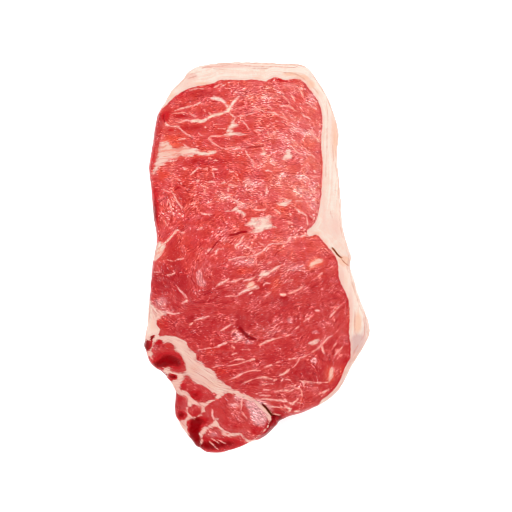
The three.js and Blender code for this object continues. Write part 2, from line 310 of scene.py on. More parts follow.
# Thin seams of fat and gristle: half width, then the line that each follows.
FAT_SEAMS = [
    (1.0, [(-33.6, 67.9), (-30, 68), (-27.6, 67.9), (-25, 69.2)]),
    (0.95, [(-26, 68.6), (-23, 70.3), (-20, 71.2), (-17, 71.9), (-14.2, 73.2)]),
    (0.5, [(-40, 67.2), (-38, 67.6), (-36, 68.3), (-33, 67.9)]), (1.1, [(-14.8, 72.4), (-13.9, 74.6)]),
    (0.6, [(-14.4, 74.2), (-15.6, 76), (-16.8, 77.4)]),
    (1.1, [(-15.8, 76.6), (-17.4, 78), (-20, 79.2), (-23.4, 79.4)]), (0.55, [(-21, 79), (-21.6, 80.4)]),
    (0.85, [(-14, 74.4), (-12.2, 77), (-10.6, 79), (-9.2, 80.4)]),
    (0.42, [(-14, 71.9), (-12.2, 70.3), (-11.2, 69.3), (-12.2, 67.8)]),
    (0.35, [(-16.5, 60.8), (-19, 60.4), (-22.5, 60.3), (-24.4, 59.4), (-23.6, 58.2), (-21.6, 56.6),
        (-19.6, 55.2), (-17.2, 54.2)]),
    (0.28, [(-17.2, 54.2), (-14, 54.4), (-10.5, 54.6), (-6, 53.8)]), (0.5, [(-10.8, 54.8), (-8, 54.2)]),
    (0.45, [(-6.3, 53.4), (-5, 51.2), (-4, 49.6), (-3.2, 48.6)]),
    (0.35, [(-3, 48.6), (-2.2, 47.6), (-2, 46.4), (-2.2, 45)]),
    (0.4, [(2.1, 54.9), (2.8, 53.6), (3.2, 52.4)]), (0.35, [(-27, 73.7), (-25.9, 72.5)]),
    (0.35, [(-24.4, 72.3), (-23, 70.9)]),
    (0.45, [(-41.2, 73.2), (-38, 74.3), (-34, 75.2), (-31, 76.1), (-28.6, 77.2)]),
    (0.3, [(-42, 71.8), (-39, 72), (-36, 72.4)]), (0.5, [(-26.6, 64.9), (-25.6, 64.7)]),
    (0.25, [(-22, 66.3), (-18.4, 66.2)]), (0.28, [(-20, 64.3), (-16, 64.1)]),
    (0.28, [(-29.6, 62), (-27.8, 60.6)]),
    (0.4, [(-45.2, 66.4), (-43, 65.3), (-40, 65.2), (-38, 63.5), (-36, 61.8), (-34, 60.6), (-31.8, 59.8)]),
    (0.7, [(-46, 67.4), (-45.4, 66.2), (-44, 65.7)]), (0.42, [(-34, 72), (-32.8, 71), (-30.8, 70.2)]),
    (0.4, [(-39.6, 58.8), (-36, 59.2)]), (0.45, [(-37.2, 56.6), (-36, 55.4), (-34.6, 54.2)]),
    (0.4, [(-45.5, 47.7), (-43, 48), (-40.3, 48.6)]), (0.3, [(-34, 83.4), (-30, 84.2), (-27, 84)]),
    (0.4, [(-21.6, 84.7), (-19.6, 86), (-17.6, 86.8)]), (0.3, [(-19, 84.6), (-15.6, 86.6)]),
    (0.4, [(-8, 68), (-5.6, 66), (-4.8, 64.2), (-3.4, 63.4)]),
    (0.4, [(-1.6, 63.2), (0.6, 63.3), (2.8, 63.4)]), (0.3, [(-12, 73.6), (-9.5, 74.4), (-6.8, 74.9)]),
    (0.35, [(-4, 73.6), (0.2, 73.8), (3.4, 72.6)]),
    (0.28, [(-11, 70.2), (-9, 70.3), (-6, 70.7), (-2, 72)]), (0.4, [(-24.6, 49.7), (-22.8, 49.1)]),
    (0.35, [(-22, 48.3), (-19.8, 48.2)]), (0.55, [(1.8, 79.2), (3.6, 80.2), (5, 81)]),
    (0.5, [(20.6, 84), (21.6, 82.8), (22.4, 81.4)]), (0.3, [(22.2, 81.6), (23.2, 79.8)]),
    (0.4, [(12.8, 80.6), (14.6, 78.8), (15.7, 77.4), (15.8, 75.8)]),
    (0.6, [(11.2, 75.4), (13.4, 75.6), (16, 75.6)]), (0.35, [(16, 75.4), (18, 73.8), (20, 72.8)]),
    (0.4, [(16.2, 81), (17.6, 80), (18.8, 77.6)]), (0.35, [(4.8, 76), (7.4, 74)]),
    (0.4, [(22.6, 76.4), (24.6, 77.2), (27, 75.4), (29.6, 73.8)]),
    (0.35, [(21.8, 72.2), (23.5, 70.4), (25.3, 69.8), (26.6, 68.5)]),
    (0.35, [(11.6, 69.9), (13.5, 69.4), (15.1, 68.5)]), (0.4, [(5.2, 72.4), (8, 72), (10.6, 70.8)]),
    (0.35, [(9.2, 67.9), (10.2, 67.8)]), (0.35, [(12, 68), (13.2, 67.3)]),
    (0.45, [(25.6, 63.6), (27, 62.4), (28, 61), (29.8, 59), (31.3, 57.1)]),
    (0.35, [(8.3, 60.1), (9.4, 58.7)]),
    (0.35, [(13.2, 59), (14.6, 58.2), (16.2, 58), (18, 56.8), (19.4, 55.6)]),
    (0.28, [(17, 57.8), (18.6, 57.6), (20.2, 55.8)]), (0.35, [(8.2, 62.5), (8.8, 61.2)]),
    (0.35, [(5.2, 62.8), (5.4, 60.9)]),
    (0.35, [(18.8, 53.3), (19.6, 52.4), (21, 51.8), (22.5, 51), (24, 50.6)]),
    (0.3, [(25.4, 50.9), (27, 51), (28.4, 50)]), (0.35, [(11.2, 53.3), (12.6, 52.4)]),
    (0.4, [(6.8, 47.3), (8.6, 45.7)]), (0.3, [(7.6, 48.2), (9.2, 46.8)]),
    (0.45, [(1.2, 47.3), (2.1, 46.3)]), (0.45, [(4, 43), (6, 43.2), (7.2, 42.3)]),
    (0.5, [(28, 43.4), (29.2, 42.4)]), (0.4, [(27, 40.3), (30.2, 40.2)]),
    (0.4, [(20.4, 33.9), (22.5, 33.6), (24.5, 33), (26.3, 32.2)]),
    (0.4, [(27, 32.3), (28.8, 32.6), (30.4, 32.4), (31.1, 31.5)]), (0.5, [(-37.4, 44.7), (-35.6, 44)]),
    (0.4, [(-30, 44.6), (-28, 44.1)]), (0.5, [(-27, 44), (-24.8, 44.1)]),
    (0.6, [(-22.8, 43.9), (-20, 43.8)]), (0.38, [(-33.6, 41.1), (-31.8, 42.6), (-29.8, 44.5)]),
    (0.3, [(-22.7, 42.4), (-21.4, 39.7)]), (0.45, [(-14.2, 42.7), (-11.8, 42.6)]),
    (0.5, [(-40.4, 39.2), (-38.2, 38.1)]), (0.4, [(-38.4, 37.2), (-37.9, 36.4)]),
    (0.6, [(-30.6, 37.6), (-29.2, 38.4)]), (0.45, [(-24.8, 37.2), (-23, 37.6), (-21, 37.2)]),
    (0.4, [(-17.9, 36.7), (-16.4, 37.6)]), (0.4, [(-14.6, 35.9), (-12.5, 35.8), (-9.8, 35.3)]),
    (0.45, [(-14.6, 34.7), (-14.6, 32.6)]),
    (0.45, [(-15.3, 31.5), (-13.8, 30.4), (-12.6, 29), (-11, 28.2), (-9.6, 27), (-9.8, 25.6)]),
    (0.4, [(-9.2, 26.7), (-7.6, 25.8), (-5.6, 24.4)]), (0.45, [(-28.4, 22.1), (-26.4, 21.4), (-23, 21.4)]),
    (0.42, [(-25.2, 26.8), (-22.6, 27.9)]), (0.5, [(-31, 25.3), (-30.2, 25.1)]),
    (0.45, [(-26.4, 33.2), (-26.1, 31.4)]), (0.3, [(-31.6, 25.8), (-31.2, 27.7)]),
    (0.45, [(4.6, 35.5), (4.4, 31)]), (0.45, [(8.4, 23.7), (10.2, 22.6), (11.6, 21.4)]),
    (0.55, [(18.8, 24.9), (20, 23.6), (21.4, 22.4), (23, 21.8), (24.5, 20.8)]),
    (0.32, [(24.6, 20.4), (24.9, 18), (25.1, 15.6)]), (0.42, [(26, 26.1), (27.2, 24.2), (28.7, 23.4)]),
    (0.35, [(29.4, 23.1), (30.4, 21.7)]), (0.38, [(26, 20.8), (27.5, 19.8), (29.1, 18.5)]),
    (0.45, [(15.2, 18), (16, 17.4), (17.5, 17.1)]), (0.45, [(16, 21.9), (16.9, 21.1)]),
    (0.38, [(19, 27.8), (20.5, 28), (22.2, 27.9)]),
    (0.28, [(23.8, 28.4), (25, 27.8), (28, 27.2), (30.9, 24.9)]),
    (0.4, [(10.2, 29.4), (12, 29.2), (14.2, 28.9)]), (0.35, [(-2, 23.8), (1.5, 23.4), (4.4, 24)]),
    (0.4, [(-43.1, 33.2), (-42, 31.5), (-41, 29.5), (-40, 27.5), (-38.5, 25.5), (-36.4, 24)]),
    (0.38, [(-44, 27.6), (-43.2, 25), (-42.6, 22.5), (-41.9, 20.4)]), (0.3, [(-47.2, 33.8), (-45, 33.3)]),
    (0.3, [(-46.2, 18.2), (-45.2, 15.3)]),
    (0.5, [(-48.2, 5.8), (-45, 8.2), (-42, 11.6), (-40.5, 13.2), (-39.3, 13.3)]),
    (0.35, [(-39.2, 12.4), (-36.6, 12.3)]), (0.3, [(-45.2, -1.2), (-42.3, -2.3)]),
    (0.35, [(-40.2, -1.3), (-38.4, -1), (-36.8, -0.2)]), (0.35, [(-51.5, -7.6), (-48.8, -7.5)]),
    (0.5, [(-45.2, -9.1), (-43, -8.8), (-41.3, -7.7)]),
    (0.38, [(-40.1, -14.9), (-38.5, -17), (-36.5, -19), (-35.4, -20.5)]),
    (0.6, [(-37.5, -23.1), (-36, -22.2), (-35, -21.7)]), (0.45, [(-34, -33.8), (-32.2, -33)]),
    (0.45, [(-46, -27.2), (-42.6, -28.4), (-39, -28)]), (0.3, [(-30, 13.6), (-28.4, 14.6), (-27.4, 14.7)]),
    (0.42, [(19, 10.4), (17, 9.8), (14.5, 7.2), (11, 6.8), (7, 6.6), (5, 5.4), (3, 3.4), (1, 1.8),
        (-2, 0.8), (-5, 0.2)]),
    (0.4, [(26, 10), (23.4, 10.8), (21, 10.2), (19, 10.4)]),
    (0.35, [(-5, 0.2), (-9, -0.2), (-12, -0.8), (-14.4, -1.6)]),
    (0.6, [(-6.8, 10.6), (-8, 8.8), (-8.6, 7)]), (0.5, [(-8.8, 6.8), (-10.4, 6), (-11, 5), (-10.4, 3.6)]),
    (0.4, [(-21, 1.4), (-20, 3.8), (-18, 4.2), (-16.8, 4.3)]), (0.5, [(-25, 3), (-23.8, 3.6), (-22.4, 4)]),
    (0.4, [(-26.2, 1.6), (-25.4, 1.9)]), (0.38, [(-6, 5.7), (-4.2, 4.4), (-1.4, 2.5)]),
    (0.35, [(1.2, 6.9), (3.5, 5.5)]),
    (0.6, [(-20.6, -14.7), (-18.6, -13.2), (-16.4, -12.2), (-14.2, -10.9)]),
    (0.4, [(-14.4, -12.3), (-11, -12), (-9, -11), (-6.8, -10.8)]),
    (0.6, [(-6.6, -11.6), (-4, -11.2), (-2.6, -10.6), (-0.8, -9.6)]),
    (0.8, [(-9.4, -18.9), (-8, -17.8), (-5.8, -16.6), (-4, -16.4)]), (0.4, [(-4.2, -18.4), (-2.5, -17.5)]),
    (0.3, [(-16.2, -19.8), (-13, -19.4), (-10, -19.7)]), (0.5, [(0.2, -12.2), (1.6, -10.4), (2.6, -9.4)]),
    (0.7, [(6, -7.6), (9, -5.8), (11.2, -4.2)]), (0.4, [(5.2, -3.5), (6.9, -2.1)]),
    (0.5, [(3, -14), (4.2, -13.1), (6.2, -13.2)]), (0.28, [(4, -19.6), (7.2, -17.3)]),
    (0.8, [(11.2, -18.5), (12.6, -18.8), (14.4, -18.7)]),
    (0.42, [(14, -18.7), (17, -17.8), (19.5, -16.8), (21.5, -15.5), (22.8, -14.8)]),
    (0.28, [(13, -13.1), (16, -11.8), (17.8, -11.2)]), (0.4, [(30.1, -9.8), (31.4, -8.8), (32.6, -7.6)]),
    (0.4, [(23.1, -32.4), (24.8, -31), (26.6, -30.1)]), (0.5, [(28.8, -26.8), (31, -26.7)]),
    (0.4, [(35.8, -30.2), (37.8, -28.2), (39, -27)]), (0.3, [(39.4, -26), (42.2, -23.8)]),
    (0.4, [(18.8, -36), (20.7, -34.7)]), (0.35, [(14, -39.9), (15.4, -38.6)]),
    (0.5, [(1.1, -44.1), (3, -42.9), (5, -42), (8, -41), (11.6, -40.1)]),
    (0.4, [(27.2, -47.6), (30, -45.8), (32, -44), (34, -41.8), (35.4, -40.2), (37.2, -39.5)]),
    (0.55, [(32.3, -44.4), (32.6, -46.5), (33.5, -48.4)]), (0.4, [(38.1, -44.4), (39.4, -43)]),
    (0.4, [(38.8, -49.1), (40.5, -47), (42.6, -44.9)]), (0.35, [(22, -50.4), (24, -49.4), (25.8, -48.5)]),
    (0.4, [(15.4, -51.3), (16.4, -51)]), (0.4, [(17, -50.9), (19.8, -50.5)]),
    (0.4, [(30.4, -68.8), (32.5, -67.8), (35.7, -66.2)]), (0.4, [(24.4, -62.2), (26.5, -63)]),
    (0.35, [(29.6, -62.8), (30.8, -62.6)]), (0.28, [(26.5, -63), (35.8, -62.6)]),
    (0.45, [(21.2, -61.7), (23.2, -62.9), (23, -64.4)]),
    (0.5, [(-31.8, -31.8), (-27.8, -30.5), (-23.8, -29.5)]),
    (0.45, [(-18.6, -36.8), (-16.5, -35.7), (-13, -33.5)]),
    (0.3, [(-13.2, -37.4), (-11.5, -36.6), (-10.2, -36.6)]),
    (0.42, [(-20.2, -44.6), (-17.5, -43.6), (-14.5, -42.3)]),
    (0.3, [(-14.6, -42.4), (-11, -42.2), (-8.2, -40.7)]), (0.3, [(-13.2, -44), (-11.4, -45.7)]),
    (0.22, [(-30.2, -46.6), (-27, -46), (-24, -45.4), (-19, -45)]),
    (0.4, [(-12.8, -48.7), (-10.4, -47.9)]), (0.25, [(-8.2, -46.2), (-3.8, -46.2)]),
    (0.35, [(-13.7, -52.3), (-11, -51.3), (-9, -51.2), (-6.8, -51.3)]),
    (0.3, [(-15.2, -54.4), (-12, -54), (-9, -53.3), (-6, -52.2), (-4, -51.6)]),
    (0.5, [(-4, -51.6), (-1.4, -50.9)]),
    (0.32, [(-14.2, -61.3), (-12, -60.4), (-9, -58.9), (-6, -57.6), (-3, -56.8), (1.4, -56.8)]),
    (0.28, [(-7.8, -63.5), (-5.5, -62.4), (-2, -61), (0, -60.5)]),
    (0.5, [(-1, -60.7), (3, -60.2), (7.2, -60.9)]), (0.3, [(1.4, -64), (5, -63.3), (8.2, -63.2)]),
    (0.4, [(3, -66.3), (6.4, -66.6)]),
    (0.42, [(8.7, -67.3), (11, -67), (13, -66.8), (16.8, -67.1), (17.8, -66)]),
    (0.28, [(-1.2, -68.5), (2.2, -67.8)]), (0.3, [(1, -69.2), (6.6, -69.3)]),
    (0.42, [(3.8, -54.9), (5.4, -54.4), (7, -53.7)]), (0.35, [(9.4, -53), (11.2, -52.1)]),
    (0.55, [(10.9, -59.1), (13, -58.4), (16, -56)]),
    (0.28, [(17, -55.8), (18.4, -54.6), (20, -52.5), (21, -50.5)]), (0.35, [(14, -61.1), (16.4, -61.4)]),
    (0.35, [(11.8, -62.1), (13, -60.7)]),
    (0.5, [(0.3, -71.3), (4, -71), (8, -71.5), (11, -71.7), (14, -72), (15.6, -72.8)]),
    (0.6, [(15.4, -72.7), (17.5, -73.2), (20.4, -70.7)]), (0.35, [(19, -72.3), (21.6, -73.3)]),
    (0.5, [(13.4, -74), (15, -75.5), (16.6, -76), (15.4, -77.7)]), (0.5, [(18.4, -77.4), (21.2, -77)]),
    (0.28, [(15.4, -65), (17, -64.3), (19, -65.5), (21.2, -66), (22, -67.2), (22.3, -70)]),
    (0.25, [(6, -75), (14, -75.3)]), (0.35, [(7.8, -78.4), (11.4, -79.3)]),
    (0.3, [(8, -61.9), (9.8, -60.8)]), (0.25, [(21, -62), (27.2, -62.4)]),
    (0.25, [(-22.5, -55.3), (-18.4, -54.1)]), (0.55, [(-7.4, -70.4), (-8, -73), (-8.2, -76.2)]),
    (0.35, [(-14.2, -73.7), (-10, -74), (-8.6, -76)]), (0.32, [(-8, -77), (-6.3, -79.5), (-5.2, -80.5)]),
    (0.5, [(-22.4, -76.4), (-22.5, -79), (-21.6, -81.4)]),
    (0.3, [(-24.1, -91.9), (-22, -93.8), (-19.8, -95.8)]), (0.25, [(-23, -90.5), (-19, -93)]),
    (0.25, [(-20, -91), (-16, -93)]), (0.35, [(-28, -93.4), (-27.2, -91.2)]),
    (0.25, [(-55.5, -48), (-52, -51.4)]),
]

# Tears and creases in the lean, and the parting between the two flaps of the fat cap, all painted with shade
# inside: half width, depth and line. The last one runs down the tail's right side, where it paints shade on
# the side.
TEARS = [
    (0.5, 0.22, [(-6.2, 54.2), (-3, 54.9), (-1, 55), (4, 55.7)]),
    (0.6, 0.36, [(-14.6, 10.8), (-11, 11.4), (-8, 12.4), (-4.8, 12.7)]),
    (0.4, 0.25, [(-25.4, 0.6), (-22.4, 4.6), (-20.2, 7.4), (-17.6, 9.8)]),
    (0.4, 0.2, [(8.2, -0.2), (9, 1.4), (10, 2.6), (12, 3.6), (13.6, 4.7)]),
    (0.35, 0.2, [(11.4, -2.7), (12.6, -2), (14.8, -0.7)]),
    (0.85, 0.45, [(-9.4, -34.6), (-7.6, -37), (-5.6, -39), (-3.4, -40.6), (-0.2, -41.2)]),
    (0.5, 0.3, [(11, -20.2), (13, -20.4), (15, -19.8)]),
    (0.4, 0.2, [(-49.8, 26.8), (-47, 29), (-44.3, 30.6)]), (0.4, 0.25, [(-41.8, 33.2), (-39, 35.2)]),
    (0.4, 0.2, [(-32.2, -7), (-33, -10), (-32, -12.6), (-29.6, -14.6)]),
    (0.35, 0.15, [(-26.8, -7), (-27.6, -10.6), (-26.8, -13.4), (-24.4, -15), (-20.6, -14.4),
        (-17.6, -11.4)]),
    (0.3, 0.2, [(-24.2, 77.6), (-19.4, 77.6)]), (0.25, 0.15, [(-2.2, 64.4), (2, 64.3), (4.4, 64.7)]),
    (0.25, 0.15, [(9, 42.3), (15, 41.9), (20, 41.6), (24, 41.8), (31, 41.1)]),
    (0.3, 0.2, [(-14, -14.6), (-19, -15.8), (-22, -16.8), (-26, -18.6), (-32, -19.6)]),
    (0.3, 0.2, [(-17, -19.4), (-21, -20.6), (-24, -22), (-28, -22.6), (-36, -22.8)]),
    (0.25, 0.15, [(-9.6, -9.8), (-6, -10), (-3, -9.4), (0.4, -8.9)]),
    (0.3, 0.2, [(-40.6, -14.4), (-38.3, -15)]),
    (0.25, 0.15, [(-10, 69.7), (-4, 69.5), (0, 69.8), (9, 70.1)]), (0.25, 0.15, [(2, -70.2), (12, -70.4)]),
    (0.25, 0.15, [(24.6, -61.5), (30, -62), (35, -61.8)]), (0.25, 0.12, [(-51.5, -8.6), (-49, -8.5)]),
    (0.4, 0.25, [(-46.6, 71.8), (-47, 69.5), (-46.2, 66.8)]),
    (0.25, 0.12, [(-37, 45.1), (-28, 45), (-18, 44.9)]),
    (0.4, 1.2, [(37, 4.8), (38.4, 3.4), (39.8, 1.5), (41.2, 0.2), (42.6, -0.7)]),
    (0.4, 0.2, [(41.8, -0.8), (43.4, -2.6), (45, -3.8), (46.6, -4.6)]),
    (0.5, 2.2, [(2, -73.6), (4, -75.2), (5.8, -77.3), (7.2, -79), (8.6, -80.4)]),
    (1.1, 0.36, [(10.6, -80), (8.6, -83), (6.2, -86.4), (3.2, -89.4), (0, -91.2)]),
]

# Fine lines in the fat, where its layers meet: half width, then the line.
FAT_LINES = [
    (0.45, [(-27.8, 94.4), (-26, 95.1), (-23, 95)]),
    (0.22, [(-23, 95.2), (-17, 95.7), (-12, 96.6), (-6, 95.8), (0, 95.2), (8, 95.2), (14, 95), (18, 94.8),
        (21, 95.7), (24, 95.4)]),
    (0.35, [(-34.6, 89.2), (-32.5, 89.9), (-30.4, 90.6)]), (0.25, [(-33.6, 91.4), (-30, 92.2)]),
    (0.25, [(-22, 94.2), (-16.6, 93.7)]), (0.2, [(-4, 96.8), (1.6, 97.2)]),
    (0.3, [(-3, 94.4), (1, 94.2), (5.2, 94.4)]), (0.35, [(13, 92.3), (17, 91.9), (21, 90.6), (25, 87.6)]),
    (0.25, [(27.6, 84.9), (29, 83.6), (30.4, 81.8)]),
    (0.2, [(34.4, 78), (35.1, 70), (34.7, 60), (34.5, 50), (34, 40)]),
    (0.2, [(36.2, 24), (37, 20.6), (37.6, 19.2)]), (0.2, [(38.6, 33.6), (40.2, 32.8)]),
    (0.2, [(37.6, 56), (38.2, 48)]), (0.3, [(49, -46.8), (46.6, -52), (43.7, -57.4), (41.6, -62)]),
    (0.35, [(42.9, -62.4), (41.3, -65), (38, -68), (33.2, -71.8)]), (0.3, [(50.4, -44), (47.4, -49)]),
    (0.25, [(48.8, -26), (48.6, -36), (49.6, -39.6)]), (0.25, [(53, -30), (53.6, -38), (51.6, -42)]),
    (0.25, [(-33.6, -51.4), (-29, -56), (-27.3, -57.2)]), (0.25, [(-24.2, -59.9), (-22, -61.6)]),
    (0.25, [(-21.2, -61.9), (-17.8, -63.7)]), (0.25, [(-34.2, -54.8), (-30.8, -58.2)]),
    (0.25, [(-11, -67.8), (-7, -69.6), (-3.6, -72)]), (0.2, [(-8.4, -68), (-4, -70.2), (-1.4, -72)]),
    (0.35, [(-26.2, -63.8), (-25.7, -63.4)]), (0.45, [(-22.5, -66.2), (-22, -65.8)]),
    (0.4, [(-20.8, -66.6), (-20.4, -66)]), (0.3, [(-21.6, -69), (-21.2, -68.6)]),
    (0.3, [(-33.4, -48.6), (-32.2, -47.6), (-31, -47.8)]), (0.3, [(-38.6, -44.4), (-36, -44.8)]),
]

# Which way the fibres run in the lean, in degrees anticlockwise from +X.
FIBRE_GUIDES = [
    ((-40, 82), 20), ((-29, 73), 12), ((-4, 73), 4), ((8, 84), -6), ((20, 80), -30), ((26, 66), -30),
    ((12, 62), -15), ((26, 50), -22), ((-14, 44), 0), ((-40, 52), 8), ((8, 32), -8), ((22, 38), -16),
    ((-42, 24), -60), ((-34, 17), 45), ((-18, 20), 25), ((-39, 2), 55), ((12, 12), 20), ((26, 22), -35),
    ((-20, 4), 42), ((-31, -12), 100), ((-43, -18), -50), ((-21, -20), 20), ((-29, -32), 4),
    ((4, -10), 28), ((-46, -30), -20), ((-16, -42), 18), ((-11, -58), 12), ((2, -57), 8), ((12, -67), 2),
    ((4, -34), 22), ((20, -46), 24), ((34, -34), 36), ((31, -12), 28), ((34, -50), 55), ((40, -58), 64),
    ((30, -68), 34), ((-14, -80), -48), ((0, -78), -46), ((-30, -68), -50), ((-46, -50), -20),
    ((-21, -91), -35),
]
FOLD_AXIS = [(-24, -9), (2, 2), (30, 13.5)]  # the lobe's fibres turn back on themselves round this line
